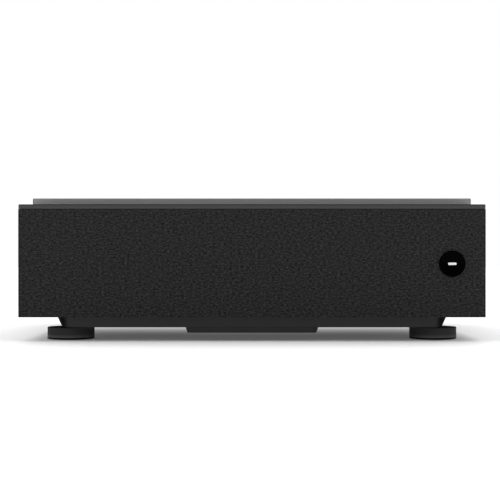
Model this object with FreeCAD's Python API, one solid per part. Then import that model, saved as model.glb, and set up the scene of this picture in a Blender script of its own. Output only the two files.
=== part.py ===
"""Ultra-short-throw home projector with a powered sliding roof, built as an assembly.

The frame is millimetres, +Z up, -Y towards the viewer and +Y towards the projection wall.
The origin is on the floor, under the middle of the body.
Each node is written to parts/NODE.step; a node of several like pieces is a compound of solids.
"""
import FreeCAD, Part
import math
import os
from FreeCAD import Matrix, Vector

# ---------------------------------------------------------------- overall sizes
BODY_W = 500.0            # across the fabric front
BODY_D = 388.0            # front to wall side
BODY_H = 120.8            # from the body's lower edge to the top deck
PLINTH_H = 11.3           # drafted base below the body
FOOT_H = 13.4             # foot disc, floor to top
FOOT_GAP = 1.3            # thread showing between foot and plinth
ROOF_H = 9.2              # sliding roof
ROOF_GAP = 1.0            # roof to deck
ROOF_SETBACK = 100.0      # roof's front edge behind the body's front, closed
ROOF_TRAVEL = 100.0
WALL = 2.5                # moulded covers
CORNER_R = 4.0            # upright corners of deck, roof and covers
SEAM = 0.3                # gap between neighbouring covers

# ---------------------------------------------------------------- front
LIP_H = 4.7               # deck's rim, top to lower edge
DECK_EDGE_R = 0.8
FABRIC_INSET = 0.2        # fabric behind the rim's face
FABRIC_T = 1.0
FRAME_T = 3.9
RETURN_D = 13.0           # front panel wrapped back along the sides
BADGE_R = 14.1
BADGE_T = 1.4
BADGE_EDGE_R = 0.5
BADGE_INSET = 36.2        # badge centre to the body's side
BADGE_UP = 57.3           # badge centre above the body's lower edge
EMBLEM = (9.0, 2.6, 0.3)  # plain bar, long, high and proud
SOUND_SLOT = (30.0, 6.0)
SOUND_PITCH = (38.0, 11.0)

# ---------------------------------------------------------------- base
PLINTH_SIDE_INSET = 39.8  # plinth's upper edge inside the body's side
PLINTH_FRONT_INSET = 7.0
PLINTH_REAR_INSET = 9.0
PLINTH_DRAFT = 4.6        # how far its lower edge is drawn in
PLINTH_CORNER_R = 12.0
PLINTH_EDGE_R = 1.0
HATCH = (143.4, 130.0, 5.9)   # raised cover under the plinth, behind its front edge
HATCH_DRAFT = 1.9
TRAY_CORNER_R = 1.0
HATCH_WALL = 2.0
FOOT_R = 25.8
FOOT_EDGE_R = 1.2
FOOT_X_INSET = 50.4       # foot centre to the body's side
FOOT_Y_INSET = 50.0
PAD_R = 20.0
PAD_H = 2.5
PAD_PROUD = 0.5           # pad below the foot disc
PAD_CLEAR = 0.3
STUD_R = 3.0
THREAD_CLEAR = 0.3
INSERT_WALL = 1.2
BOSS_WALL = 2.2
CEILING_HOLE_R = 2.0
CEILING_HOLE_DEPTH = 8.0
CEILING_SPACING = (300.0, 200.0)
SCREW_R = 1.5
SCREW_HEAD_R = 3.0
SCREW_HEAD_H = 1.6
TRAY_SCREW_INSET = 18.0   # screw axis to the body's side

# ---------------------------------------------------------------- side and rear covers
REAR_RETURN = 12.0        # side cover wrapped round the rear corner
VENT_SLOT = (3.4, 68.0)   # wide, high
VENT_PITCH = 7.0
VENT_FRONT = 40.0         # first slot to the body's front
VENT_REAR = 70.0          # last slot to the body's rear
VENT_UP = 22.0            # slot's foot above the body's lower edge
BUTTON_R = 6.5
BUTTON_FLANGE = (8.5, 2.0)    # radius, thickness
BUTTON_SUNK = 0.2         # button face below the cover's
BUTTON_TRAVEL = 1.0
BUTTON_PLAY = 0.1
BUTTON_EDGE_R = 0.6
SWITCH = 6.0
SWITCH_POST = (2.0, 12.0)     # thickness, width
BUTTON_CLEAR = 0.3
BUTTON_FROM_REAR = 34.0
BUTTON_UP = 45.0

# ---------------------------------------------------------------- roof drive
ROOF_SKIN = 2.0
ROOF_EDGE_R = 1.2
LINER_T = 1.5
LINER_CLEAR = 0.2
RAIL_INSET = 28.0         # guide rod to the body's side
ROD_R = 3.0
ROD_DROP = 9.3            # rod axis below the deck's underside
RUN_CLEAR = 0.05          # radial clearance of sliding and turning fits
CARRIAGE = (16.0, 34.0, 12.0)
NECK = (8.0, 26.0)
NECK_CLEAR = 1.0
SLOT_CORNER_R = 2.0       # of the slots that the roof's carriages run in
NECK_TO_WELL = 8.0        # rear end of the rail slot to the well
BRACKET = (13.0, 12.0)    # width, length along the rod
BRACKET_GAP = 6.0         # carriage to bracket at both ends of the travel
GEAR_W = 6.0
GEAR_SIDE_CLEAR = 0.5     # a rack's gear to the carriage that passes beside it
RACK_BACK = 5.0
RACK_SPARE = 10.0         # rack beyond the pinion at each end of the travel
RACK_MODULE = 1.0
RACK_PINION_TEETH = 16
RACK_DROP = 5.0           # rack's pitch line below the rod axis
TRAIN_MODULE = 0.8
TRAIN_WHEEL_TEETH = 36
TRAIN_PINION_TEETH = 12
TRAIN_X = 60.0
SHAFT_R = 2.0
BEARING = (8.0, 14.0, 8.0)    # width, length, wall below the shaft
BEARING_FROM_RACK = 14.0
MOTOR_R = 12.0
MOTOR_L = 34.0
MOTOR_PLATE_T = 2.5
PRESSURE = math.radians(25.0)
ADDENDUM = 0.8
DEDENDUM = 1.15
BACKLASH = 0.16

# ---------------------------------------------------------------- lens well and optics
WELL_W = 190.0
WELL_D = 82.0
WELL_FROM_REAR = 14.0
WELL_WALL = 2.0
WELL_FLANGE = 6.0
WELL_CORNER_R = 6.0
WELL_DEPTH = (15.0, 36.0)     # below the deck's underside, at its front and rear
WINDOW = (150.0, 62.0)
WINDOW_LAP = 4.0
WINDOW_T = 3.0
FOCUS_CLEAR = 2.7         # focus ring to the tray
AXIS_FROM_REAR = 44.0
ENGINE = (82.0, 82.0, 66.0)
ENGINE_FROM_SIDE = 59.0
ENGINE_WALL = 3.0
BARREL_R = 26.0
BARREL_WALL = 3.0
FOLD = 58.0
FOLD_WALL = 3.0
FOLD_MIRROR = (60.0, 46.0, 2.0)
FRONT_TUBE = (27.0, 14.0)     # radius, length
FRONT_LENS_R = 24.0
FRONT_LENS_RISE = 7.0
MIRROR = (140.0, 76.0, 14.0)
MIRROR_R = 160.0
MIRROR_DEPTH = 10.0
MIRROR_TILT = 30.0
MIRROR_FROM_AXIS = 84.0
MIRROR_UP = 28.0          # mirror's middle above the axis
MOUNT_T = 6.0
MOUNT_INSET = 8.0
RIB_T = 6.0
RIB_FOOT = 8.0
FOCUS_MODULE = 1.0
FOCUS_RING_WALL = 2.8     # barrel to the roots of the ring's teeth
FOCUS_PINION_TEETH = 12
FOCUS_W = 10.0
FOCUS_FROM_FOLD = 33.0    # focus ring, moved to its limit, to the fold's housing
FOCUS_MOTOR = (9.0, 26.0)     # radius, length
FOCUS_TRAVEL = 3.0        # of the focus cell each way
CELL_L = 22.0
CELL_WALL = 2.5
CHIP_BOARD = (60.0, 56.0)
BOARD_T = 1.6
FIN_T = 1.0
FIN_PITCH = 4.0
CHIP_SINK = 22.0

# ---------------------------------------------------------------- light source
HOUSING = (76.0, 60.0, 94.0)
HOUSING_GAP = 44.0
HOUSING_WALL = 2.5
TUNNEL_R = 9.0
LIGHT_HOLE_R = 7.0
WHEEL_UP = 24.0           # wheels' axis above the light path
PHOSPHOR_R = 31.0
COLOUR_R = 27.0
WHEEL_T = 1.0
HUB = (10.0, 5.0)         # radius, length
WHEEL_MOTOR_L = 9.0
WHEEL_GAP = 0.6
LASER = (60.0, 40.0, 55.0)
COLD_PLATE_T = 8.0
PIPE_R = 3.0
PIPE_BEND = 14.0
PIPE_LEVELS = (-16.0, 0.0, 16.0)
SINK = (28.0, 88.0, 84.0)
SINK_CLEAR = 3.0
SINK_UP = 10.0            # cooler's middle above the axis
PIPE_SHORT = 2.0          # pipes' ends short of the cold plate's side

# ---------------------------------------------------------------- air, sound and boards
FAN = 92.0
FAN_T = 25.0
FAN_RIM = 3.5
FAN_TIP_GAP = 1.0
FAN_CLEAR = 0.7           # frame to the side cover
FAN_CORNER_R = 4.0
FAN_STRUT_W = 4.0
ROTOR_GAP = 1.0           # rotor to its seat, and short of the frame's face
FAN_HUB_R = 19.0
FAN_SEAT_T = 4.0
FAN_BLADES = 9
BLADE_T = 1.6
BLADE_PITCH = 40.0
FAN_LEFT_FROM_REAR = 144.0
FANS_RIGHT_FROM_FRONT = (134.0, 230.0)
SPEAKER = (140.0, 70.0, 92.0)
SPEAKER_FROM_SIDE = 15.0
SPEAKER_WALL = 2.5
DRIVER_R = 36.0
CONE_R = 27.0
CONE_DEPTH = 12.0
DRIVER_RIM = 4.0
MAGNET_T = 14.0
STANDOFF = (4.0, 5.0)     # radius, height
SUPPLY = (176.0, 120.0)
SUPPLY_FROM_FRONT = 96.0
# Parts of the supply board: centre in x, centre from the board's front, size.
SUPPLY_BLOCKS = ((-50.0, 60.0, (44.0, 40.0, 32.0)), (50.0, 30.0, (30.0, 26.0, 22.0)),
                 (80.0, 60.0, (4.0, 80.0, 28.0)))
CAPACITOR = (9.0, 30.0)   # radius, height
CAPACITOR_X = (10.0, 32.0, 54.0)
CAPACITOR_FROM_FRONT = 90.0
BOARD_INSET = 2.0         # posts to the board's edges
MAIN_BOARD = (150.0, 94.0)
MAIN_SINK = (60.0, 50.0, 4.0)     # width, depth, thickness of its foot
MAIN_SINK_PLACE = (80.0, 36.0)    # from the board's +X side and from its front
MAIN_FIN_H = 14.0
MAIN_FROM_SIDE = 16.0
INLET = (24.0, 22.0, 16.5)
INLET_X = 56.0
INLET_WALL = 2.0
INLET_SUNK = 0.5          # inlet's mouth behind the rear face
INLET_LEG_W = 8.0
PIN_R = 1.2
PIN_SHORT = 5.0           # pins' tips behind the inlet's mouth
PIN_PLACES = ((-5.0, -2.0), (5.0, -2.0), (0.0, 2.5))
BAY_DEPTH = 7.0           # recess that the sockets open into
BAY_MARGIN = 4.0          # socket opening to the recess's walls
BAY_WALL = 1.5
SOCKET_DEPTH = 12.0
PORT_PLATE_T = 1.0
SOCKET_SHELL = 0.8
SOCKET_BACK = 2.0         # solid back of a socket
TONGUE = (2.0, 1.6)       # short of the mouth, thickness
# Sockets on the wall side: centre from the +X side, opening width and height.
SOCKETS = ((38.0, 14.6, 5.4), (60.0, 14.6, 5.4), (82.0, 12.8, 5.6), (101.0, 12.8, 5.6),
           (119.0, 9.2, 9.2), (142.0, 17.4, 8.6))

# ---------------------------------------------------------------- levels and faces
LEFT, RIGHT = -BODY_W / 2, BODY_W / 2
FRONT, REAR = -BODY_D / 2, BODY_D / 2
Z_PLINTH = FOOT_H + FOOT_GAP
Z_BODY = Z_PLINTH + PLINTH_H
Z_DECK = Z_BODY + BODY_H
Z_ROOF = Z_DECK + ROOF_GAP
Z_LIP = Z_DECK - LIP_H
Z_COVER = Z_LIP - SEAM
Z_UNDER = Z_DECK - WALL           # deck's underside
Z_TRAY = Z_BODY + WALL            # floor that the units stand on
AXIS_Y = REAR - AXIS_FROM_REAR
INNER_REAR = REAR - WALL - SEAM
FRAME_BACK = FRONT + FABRIC_INSET + FABRIC_T + FRAME_T
RETURN_Y = FRONT + RETURN_D
LIGHT_X = LEFT + ENGINE_FROM_SIDE + ENGINE[0] / 2
ENGINE_FRONT = AXIS_Y - ENGINE[1] / 2
HOUSING_FRONT = ENGINE_FRONT - HOUSING_GAP - HOUSING[1]
LASER_FRONT = HOUSING_FRONT - LASER[1]
FAN_BORE = FAN / 2 - FAN_RIM
WELL_Y1 = REAR - WELL_FROM_REAR
WELL_Y0 = WELL_Y1 - WELL_D
NECK_Y1 = WELL_Y0 - NECK_TO_WELL
CARRIAGE_Y = NECK_Y1 - NECK[1] / 2
ROD_Z = Z_UNDER - ROD_DROP
RAIL_X = RIGHT - RAIL_INSET
RACK_X = RAIL_X - CARRIAGE[0] / 2 - GEAR_W / 2
RACK_PITCH_R = RACK_MODULE * RACK_PINION_TEETH / 2
SHAFT_Y = CARRIAGE_Y + CARRIAGE[1] / 2 - ROOF_TRAVEL
SHAFT_Z = ROD_Z - RACK_DROP - RACK_PITCH_R
TRAIN_R = TRAIN_MODULE * TRAIN_WHEEL_TEETH / 2
TRAIN_PINION_R = TRAIN_MODULE * TRAIN_PINION_TEETH / 2
MOTOR_Y = SHAFT_Y - TRAIN_R - TRAIN_PINION_R
FOCUS_TEETH = math.ceil(2 * (BARREL_R + FOCUS_RING_WALL) / FOCUS_MODULE + 2 * DEDENDUM)
FOCUS_R = FOCUS_MODULE * FOCUS_TEETH / 2
AXIS_Z = Z_TRAY + FOCUS_CLEAR + ADDENDUM * FOCUS_MODULE + FOCUS_R
FOCUS_PINION_R = FOCUS_MODULE * FOCUS_PINION_TEETH / 2
FOCUS_X = -FOLD / 2 - FOCUS_FROM_FOLD - FOCUS_TRAVEL - FOCUS_W
FOCUS_PINION_Z = AXIS_Z + FOCUS_R + FOCUS_PINION_R

X, Y, Z = Vector(1, 0, 0), Vector(0, 1, 0), Vector(0, 0, 1)
nodes = {}


# ---------------------------------------------------------------- shape helpers
def box(x0, x1, y0, y1, z0, z1):
    return Part.makeBox(x1 - x0, y1 - y0, z1 - z0, Vector(x0, y0, z0))


def block(size, x, y, z):
    """Box centred on x and y that stands on z."""
    return box(x - size[0] / 2, x + size[0] / 2, y - size[1] / 2, y + size[1] / 2, z, z + size[2])


def rod(radius, length, start, axis=Z):
    return Part.makeCylinder(radius, length, Vector(*start), axis)


def ring(outer, inner, length, start, axis=Z):
    return rod(outer, length, start, axis).cut(rod(inner, length, start, axis))


def fuse(first, *others):
    return first.multiFuse(list(others)).removeSplitter()


def prism(points, axis, start, length):
    """Polygon of (u, v) points drawn across the X or Z axis, extruded along it from start."""
    if axis == X:
        loop = [Vector(start, u, v) for u, v in points]
    else:
        loop = [Vector(u, v, start) for u, v in points]
    return Part.Face(Part.makePolygon(loop + loop[:1])).extrude(axis * length)


def edges_along(shape, axis):
    """Straight edges that run along one axis."""
    found = []
    for edge in shape.Edges:
        if len(edge.Vertexes) == 2:
            way = edge.Vertexes[1].Point - edge.Vertexes[0].Point
            if way.Length > 1e-6 and abs(way.normalize().dot(axis)) > 0.999:
                found.append(edge)
    return found


def edges_at(shape, z):
    """Every edge that lies wholly at height z."""
    return [e for e in shape.Edges if abs(e.BoundBox.ZMin - z) < 1e-4 and abs(e.BoundBox.ZMax - z) < 1e-4]


def slab(x0, x1, y0, y1, z0, z1, radius):
    """Box with rounded upright corners."""
    plain = box(x0, x1, y0, y1, z0, z1)
    return plain.makeFillet(radius, edges_along(plain, Z))


def drafted(x0, x1, y0, y1, z0, z1, draft, radius):
    """Tapered block: full size at z1, drawn in by draft at z0, with rounded upright corners."""
    def outline(inset, z):
        flat = slab(x0 + inset, x1 - inset, y0 + inset, y1 - inset, z, z + 1.0, radius)
        return next(f for f in flat.Faces if abs(f.BoundBox.ZMax - z) < 1e-6).OuterWire
    return Part.makeLoft([outline(draft, z0), outline(0.0, z1)], True, True)


def mirrored(shape):
    flip = Matrix()
    flip.A11 = -1.0
    return shape.transformGeometry(flip)


def turned(shape, centre, axis, degrees):
    copy = shape.copy()
    copy.rotate(Vector(*centre), axis, degrees)
    return copy


def gear_outline(teeth, module, phase):
    """Involute gear as a closed polygon; phase is the angle of one tooth's middle."""
    pitch_r = module * teeth / 2
    base_r = pitch_r * math.cos(PRESSURE)
    tip_r = pitch_r + ADDENDUM * module
    root_r = pitch_r - DEDENDUM * module
    half = (math.pi * module / 2 - BACKLASH / 2) / 2 / pitch_r
    involute = math.tan(PRESSURE) - PRESSURE
    steps = 5
    start_r = max(base_r, root_r)
    flank = []
    for i in range(steps + 1):
        radius = start_r + (tip_r - start_r) * i / steps
        spread = math.acos(min(1.0, base_r / radius))
        flank.append((radius, half + involute - (math.tan(spread) - spread)))
    points = []
    for tooth in range(teeth):
        middle = phase + 2 * math.pi * tooth / teeth
        side = [(root_r, flank[0][1])] if root_r < start_r - 1e-6 else []
        side += flank
        points += [(r, middle - a) for r, a in side]
        points += [(r, middle + a) for r, a in reversed(side)]
    return [(r * math.cos(a), r * math.sin(a)) for r, a in points]


def gear(teeth, module, phase, x, y, z, width, bore):
    """Gear about the X axis; phase is measured in the YZ plane from +Y."""
    points = [(y + u, z + v) for u, v in gear_outline(teeth, module, phase)]
    return prism(points, X, x, width).cut(rod(bore, width, (x, y, z), X))


def cutters(xs, zs, size, y0, y1):
    """Round-ended horizontal slots through a wall that faces along Y."""
    tools = []
    for x in xs:
        for z in zs:
            w, h = size
            plain = box(x - w / 2, x + w / 2, y0, y1, z - h / 2, z + h / 2)
            tools.append(plain.makeFillet(h / 2 - 0.05, edges_along(plain, Y)))
    return tools


# ---------------------------------------------------------------- base and feet
def feet_places():
    x, y = RIGHT - FOOT_X_INSET, REAR - FOOT_Y_INSET
    return {"front_left": (-x, -y), "front_right": (x, -y), "rear_left": (-x, y), "rear_right": (x, y)}


def grid(spacing):
    return [(sx * spacing[0] / 2, sy * spacing[1] / 2) for sx in (-1, 1) for sy in (-1, 1)]


def plinth_block(inset, z0):
    return drafted(LEFT + PLINTH_SIDE_INSET + inset, RIGHT - PLINTH_SIDE_INSET - inset,
                   FRONT + PLINTH_FRONT_INSET + inset, REAR - PLINTH_REAR_INSET - inset,
                   z0, Z_BODY, PLINTH_DRAFT, PLINTH_CORNER_R - inset)


def make_base():
    outer = plinth_block(0.0, Z_PLINTH)
    outer = outer.makeFillet(PLINTH_EDGE_R, edges_at(outer, Z_PLINTH))
    pan = outer.cut(plinth_block(WALL, Z_PLINTH + WALL))
    insert_r = STUD_R + THREAD_CLEAR + INSERT_WALL
    posts = [rod(insert_r + BOSS_WALL, PLINTH_H, (x, y, Z_PLINTH)) for x, y in feet_places().values()]
    posts += [rod(CEILING_HOLE_R + BOSS_WALL, PLINTH_H, (x, y, Z_PLINTH)) for x, y in grid(CEILING_SPACING)]
    pan = fuse(pan, *[post.common(outer) for post in posts])
    bores = [rod(insert_r, PLINTH_H, (x, y, Z_PLINTH)) for x, y in feet_places().values()]
    bores += [rod(CEILING_HOLE_R, CEILING_HOLE_DEPTH, (x, y, Z_PLINTH)) for x, y in grid(CEILING_SPACING)]
    nodes["plinth"] = pan.cut(Part.makeCompound(bores))
    bore_r = STUD_R + THREAD_CLEAR
    nodes["foot_inserts"] = Part.makeCompound([ring(insert_r, bore_r, PLINTH_H, (x, y, Z_PLINTH))
                                               for x, y in feet_places().values()])

    width, depth, height = HATCH
    y0 = FRONT + PLINTH_FRONT_INSET + PLINTH_DRAFT
    hatch = drafted(-width / 2, width / 2, y0, y0 + depth, Z_PLINTH - height, Z_PLINTH,
                    HATCH_DRAFT, PLINTH_CORNER_R / 2)
    wall = HATCH_WALL
    hollow = drafted(-width / 2 + wall, width / 2 - wall, y0 + wall, y0 + depth - wall,
                     Z_PLINTH - height + wall, Z_PLINTH, HATCH_DRAFT, PLINTH_CORNER_R / 2 - wall)
    nodes["bottom_cover"] = hatch.cut(hollow)

    tray = slab(LEFT + WALL + SEAM, RIGHT - WALL - SEAM, FRAME_BACK + SEAM, INNER_REAR,
                Z_BODY, Z_TRAY, TRAY_CORNER_R)
    corner = FABRIC_INSET / 2 + FABRIC_T + FRAME_T + SEAM
    tray = tray.cut(Part.makeCompound([box(x, x + corner, FRONT, RETURN_Y + SEAM, Z_BODY, Z_TRAY)
                                       for x in (LEFT, RIGHT - corner)]))
    screw_x = RIGHT - TRAY_SCREW_INSET
    places = [(side * screw_x, y) for side in (-1, 1) for y in (-BODY_D / 3, 0.0, BODY_D / 3)]
    nodes["base_tray"] = tray.cut(Part.makeCompound([rod(SCREW_R, WALL, (x, y, Z_BODY)) for x, y in places]))
    nodes["tray_screws"] = Part.makeCompound(
        [fuse(rod(SCREW_R, WALL, (x, y, Z_BODY)),
              rod(SCREW_HEAD_R, SCREW_HEAD_H, (x, y, Z_BODY - SCREW_HEAD_H))
              .cut(rod(SCREW_R / 1.5, SCREW_HEAD_H / 2, (x, y, Z_BODY - SCREW_HEAD_H)))) for x, y in places])


def make_feet():
    for name, (x, y) in feet_places().items():
        disc = rod(FOOT_R, FOOT_H - PAD_PROUD, (x, y, PAD_PROUD))
        disc = disc.makeFillet(FOOT_EDGE_R, edges_at(disc, PAD_PROUD))
        recess = rod(PAD_R + PAD_CLEAR, PAD_H - PAD_PROUD + RUN_CLEAR, (x, y, PAD_PROUD))
        stud = rod(STUD_R, FOOT_GAP + PLINTH_H - SEAM, (x, y, FOOT_H))
        nodes["foot_" + name] = fuse(disc.cut(recess), stud)
        nodes["pad_" + name] = rod(PAD_R, PAD_H, (x, y, 0.0))


# ---------------------------------------------------------------- covers
def wrap(inset, thickness, z0, z1, y_end):
    """Panel across the front that turns back along both sides as far as y_end."""
    outer = slab(LEFT + inset, RIGHT - inset, FRONT + inset, REAR, z0, z1, CORNER_R)
    edge = inset + thickness
    inner = slab(LEFT + edge, RIGHT - edge, FRONT + edge, REAR + CORNER_R * 2, z0, z1,
                 max(CORNER_R - thickness, 0.5))
    return outer.cut(inner).common(box(LEFT, RIGHT, FRONT, y_end, z0, z1))


def spread(first, last, pitch):
    """Evenly pitched places between first and last, centred."""
    count = int((last - first) / pitch + 1e-6)
    start = (first + last - count * pitch) / 2
    return [start + i * pitch for i in range(count + 1)]


def make_front():
    nodes["front_fabric"] = wrap(FABRIC_INSET / 2, FABRIC_T, Z_BODY, Z_COVER, RETURN_Y)
    frame = wrap(FABRIC_INSET / 2 + FABRIC_T, FRAME_T - FABRIC_INSET / 2, Z_BODY, Z_COVER, RETURN_Y)
    half = SOUND_SLOT[0] / 2 + RETURN_D
    slots = cutters(spread(LEFT + half, RIGHT - half, SOUND_PITCH[0]),
                    spread(Z_BODY + SOUND_PITCH[1], Z_COVER - SOUND_PITCH[1], SOUND_PITCH[1]),
                    SOUND_SLOT, FRONT, FRAME_BACK + 1.0)
    nodes["front_frame"] = frame.cut(Part.makeCompound(slots))
    badge_x, badge_z = RIGHT - BADGE_INSET, Z_BODY + BADGE_UP
    face = FRONT + FABRIC_INSET / 2
    disc = rod(BADGE_R, BADGE_T + FABRIC_T, (badge_x, face - BADGE_T, badge_z), Y)
    nodes["front_fabric"] = nodes["front_fabric"].cut(disc)
    rim = [edge for edge in disc.Edges if edge.BoundBox.YMax < face - BADGE_T + 1e-4]
    nodes["badge_disc"] = disc.makeFillet(BADGE_EDGE_R, rim)
    long, high, proud = EMBLEM
    bar = box(badge_x - long / 2, badge_x + long / 2, face - BADGE_T - proud, face - BADGE_T,
              badge_z - high / 2, badge_z + high / 2)
    nodes["badge_emblem"] = bar.makeFillet(high / 2 - 0.05, edges_along(bar, Y))


def make_deck():
    deck = slab(LEFT, RIGHT, FRONT, REAR, Z_LIP, Z_DECK, CORNER_R)
    deck = deck.makeFillet(DECK_EDGE_R, edges_at(deck, Z_DECK))
    deck = deck.cut(box(LEFT + WALL, RIGHT - WALL, FRONT + WALL, REAR - WALL, Z_LIP, Z_UNDER))
    well = slab(-WELL_W / 2, WELL_W / 2, WELL_Y0, WELL_Y1, Z_UNDER, Z_DECK, WELL_CORNER_R)
    half = NECK[0] / 2 + NECK_CLEAR
    slots = [slab(x - half, x + half, NECK_Y1 - NECK[1] - ROOF_TRAVEL - NECK_CLEAR, NECK_Y1 + NECK_CLEAR,
                  Z_UNDER, Z_DECK, SLOT_CORNER_R) for x in (-RAIL_X, RAIL_X)]
    nodes["top_deck"] = deck.cut(Part.makeCompound([well] + slots))


def make_covers():
    outer = slab(LEFT, RIGHT, FRONT, REAR, Z_BODY, Z_COVER, CORNER_R)
    inner = slab(LEFT + WALL, RIGHT - WALL, FRONT + WALL, REAR - WALL, Z_BODY, Z_COVER, CORNER_R - WALL)
    shell = outer.cut(inner)
    vents = [box(LEFT, RIGHT, y - VENT_SLOT[0] / 2, y + VENT_SLOT[0] / 2,
                 Z_BODY + VENT_UP, Z_BODY + VENT_UP + VENT_SLOT[1])
             for y in spread(FRONT + VENT_FRONT, REAR - VENT_REAR, VENT_PITCH)]
    vents = Part.makeCompound(vents)
    start = RETURN_Y + SEAM
    left = shell.common(box(LEFT, LEFT + REAR_RETURN, start, REAR, Z_BODY, Z_COVER)).cut(vents)
    nodes["side_cover_left"] = left
    hole = rod(BUTTON_R + BUTTON_CLEAR, WALL, (RIGHT - WALL, REAR - BUTTON_FROM_REAR, Z_BODY + BUTTON_UP), X)
    nodes["side_cover_right"] = mirrored(left).cut(hole)
    edge = REAR_RETURN + SEAM
    rear = shell.common(box(LEFT + edge, RIGHT - edge, 0.0, REAR, Z_BODY, Z_COVER))
    x0, x1, z0, z1 = bay_limits()
    wall = BAY_WALL
    rear = fuse(rear, box(x0 - wall, x1 + wall, REAR - BAY_DEPTH, REAR - WALL, z0 - wall, z1 + wall))
    inlet_z = Z_TRAY + STANDOFF[1]
    nodes["rear_cover"] = rear.cut(Part.makeCompound(
        [box(x0, x1, REAR - BAY_DEPTH, REAR, z0, z1),
         block((INLET[0], WALL, INLET[2]), INLET_X, REAR - WALL / 2, inlet_z)]))


def make_roof():
    y0 = FRONT + ROOF_SETBACK
    roof = slab(LEFT, RIGHT, y0, REAR, Z_ROOF, Z_ROOF + ROOF_H, CORNER_R)
    roof = roof.makeFillet(ROOF_EDGE_R, edges_at(roof, Z_ROOF + ROOF_H))
    inset = ROOF_SKIN
    nodes["roof_cover"] = roof.cut(slab(LEFT + inset, RIGHT - inset, y0 + inset, REAR - inset,
                                        Z_ROOF, Z_ROOF + ROOF_H - ROOF_SKIN, CORNER_R - inset))
    inset += LINER_CLEAR
    nodes["roof_liner"] = slab(LEFT + inset, RIGHT - inset, y0 + inset, REAR - inset,
                               Z_ROOF, Z_ROOF + LINER_T, CORNER_R - inset)
    w, length, h = CARRIAGE
    carriages, racks, rods, brackets = [], [], [], []
    rod_y0 = CARRIAGE_Y - length / 2 - ROOF_TRAVEL - BRACKET_GAP - BRACKET[1]
    rod_y1 = CARRIAGE_Y + length / 2 + BRACKET_GAP + BRACKET[1]
    for side in (-1, 1):
        x = side * RAIL_X
        body = fuse(block(CARRIAGE, x, CARRIAGE_Y, ROD_Z - h / 2),
                    block((NECK[0], NECK[1], Z_ROOF - ROD_Z - h / 2), x, CARRIAGE_Y, ROD_Z + h / 2))
        carriages.append(body.cut(rod(ROD_R + RUN_CLEAR, length, (x, CARRIAGE_Y - length / 2, ROD_Z), Y)))
        racks.append(make_rack(side * RACK_X - GEAR_W / 2))
        rods.append(rod(ROD_R, rod_y1 - rod_y0, (x, rod_y0, ROD_Z), Y))
        for y in (rod_y0 + BRACKET[1] / 2, rod_y1 - BRACKET[1] / 2):
            post = block((BRACKET[0], BRACKET[1], Z_UNDER - ROD_Z + h / 2), x, y, ROD_Z - h / 2)
            brackets.append(post.cut(rod(ROD_R, BRACKET[1], (x, y - BRACKET[1] / 2, ROD_Z), Y)))
    nodes["roof_carriages"] = Part.makeCompound(carriages)
    nodes["roof_racks"] = Part.makeCompound(racks)
    nodes["guide_rods"] = Part.makeCompound(rods)
    nodes["roof_brackets"] = Part.makeCompound(brackets)


def make_rack(x0):
    """Rack with its teeth down; a tooth gap stands over the pinion when the roof is closed."""
    pitch = math.pi * RACK_MODULE
    line = ROD_Z - RACK_DROP
    y0, y1 = SHAFT_Y - RACK_SPARE, SHAFT_Y + ROOF_TRAVEL + RACK_SPARE
    root, tip = line + DEDENDUM * RACK_MODULE, line - ADDENDUM * RACK_MODULE
    half = (pitch / 2 - BACKLASH / 2) / 2
    lean = math.tan(PRESSURE)
    wide = half + lean * (root - line)
    thin = half - lean * (line - tip)
    points = [(y0, root + RACK_BACK), (y0, root)]
    first = math.ceil((y0 + wide - SHAFT_Y) / pitch - 0.5)
    y = SHAFT_Y + (first + 0.5) * pitch
    while y + wide < y1:
        points += [(y - wide, root), (y - thin, tip), (y + thin, tip), (y + wide, root)]
        y += pitch
    points += [(y1, root), (y1, root + RACK_BACK)]
    return prism(points, X, x0, GEAR_W)


def make_drive():
    gears = []
    for side in (-1, 1):
        width = GEAR_W - 2 * GEAR_SIDE_CLEAR
        gears.append(gear(RACK_PINION_TEETH, RACK_MODULE, math.pi / 2, side * RACK_X - width / 2,
                          SHAFT_Y, SHAFT_Z, width, SHAFT_R))
    gears.append(gear(TRAIN_WHEEL_TEETH, TRAIN_MODULE, math.pi, TRAIN_X, SHAFT_Y, SHAFT_Z, GEAR_W, SHAFT_R))
    nodes["drive_gears"] = Part.makeCompound(gears)
    half = RACK_X + GEAR_W / 2 + 1.0
    nodes["drive_shaft"] = rod(SHAFT_R, 2 * half, (-half, SHAFT_Y, SHAFT_Z), X)
    bearings = []
    width, length, below = BEARING
    for side in (-1, 1):
        x = side * (RACK_X - BEARING_FROM_RACK)
        post = block((width, length, Z_UNDER - SHAFT_Z + below), x, SHAFT_Y, SHAFT_Z - below)
        bearings.append(post.cut(rod(SHAFT_R + RUN_CLEAR, width, (x - width / 2, SHAFT_Y, SHAFT_Z), X)))
    nodes["roof_brackets"] = Part.makeCompound(nodes["roof_brackets"].Solids + bearings)
    x0 = TRAIN_X + GEAR_W + 1.0
    pinion = gear(TRAIN_PINION_TEETH, TRAIN_MODULE, math.pi / TRAIN_PINION_TEETH, TRAIN_X,
                  MOTOR_Y, SHAFT_Z, GEAR_W, SHAFT_R / 2)
    stem = rod(SHAFT_R / 2, GEAR_W + 1.0 + MOTOR_PLATE_T + MOTOR_L / 2, (TRAIN_X, MOTOR_Y, SHAFT_Z), X)
    nodes["motor_pinion"] = fuse(pinion, stem)
    plate = box(x0, x0 + MOTOR_PLATE_T, MOTOR_Y - MOTOR_R, MOTOR_Y + MOTOR_R, SHAFT_Z - MOTOR_R, Z_UNDER)
    can = rod(MOTOR_R, MOTOR_L, (x0 + MOTOR_PLATE_T, MOTOR_Y, SHAFT_Z), X)
    bore = rod(SHAFT_R / 2 + RUN_CLEAR, MOTOR_PLATE_T + MOTOR_L / 2, (x0, MOTOR_Y, SHAFT_Z), X)
    nodes["roof_motor"] = fuse(plate, can).cut(bore)


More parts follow.
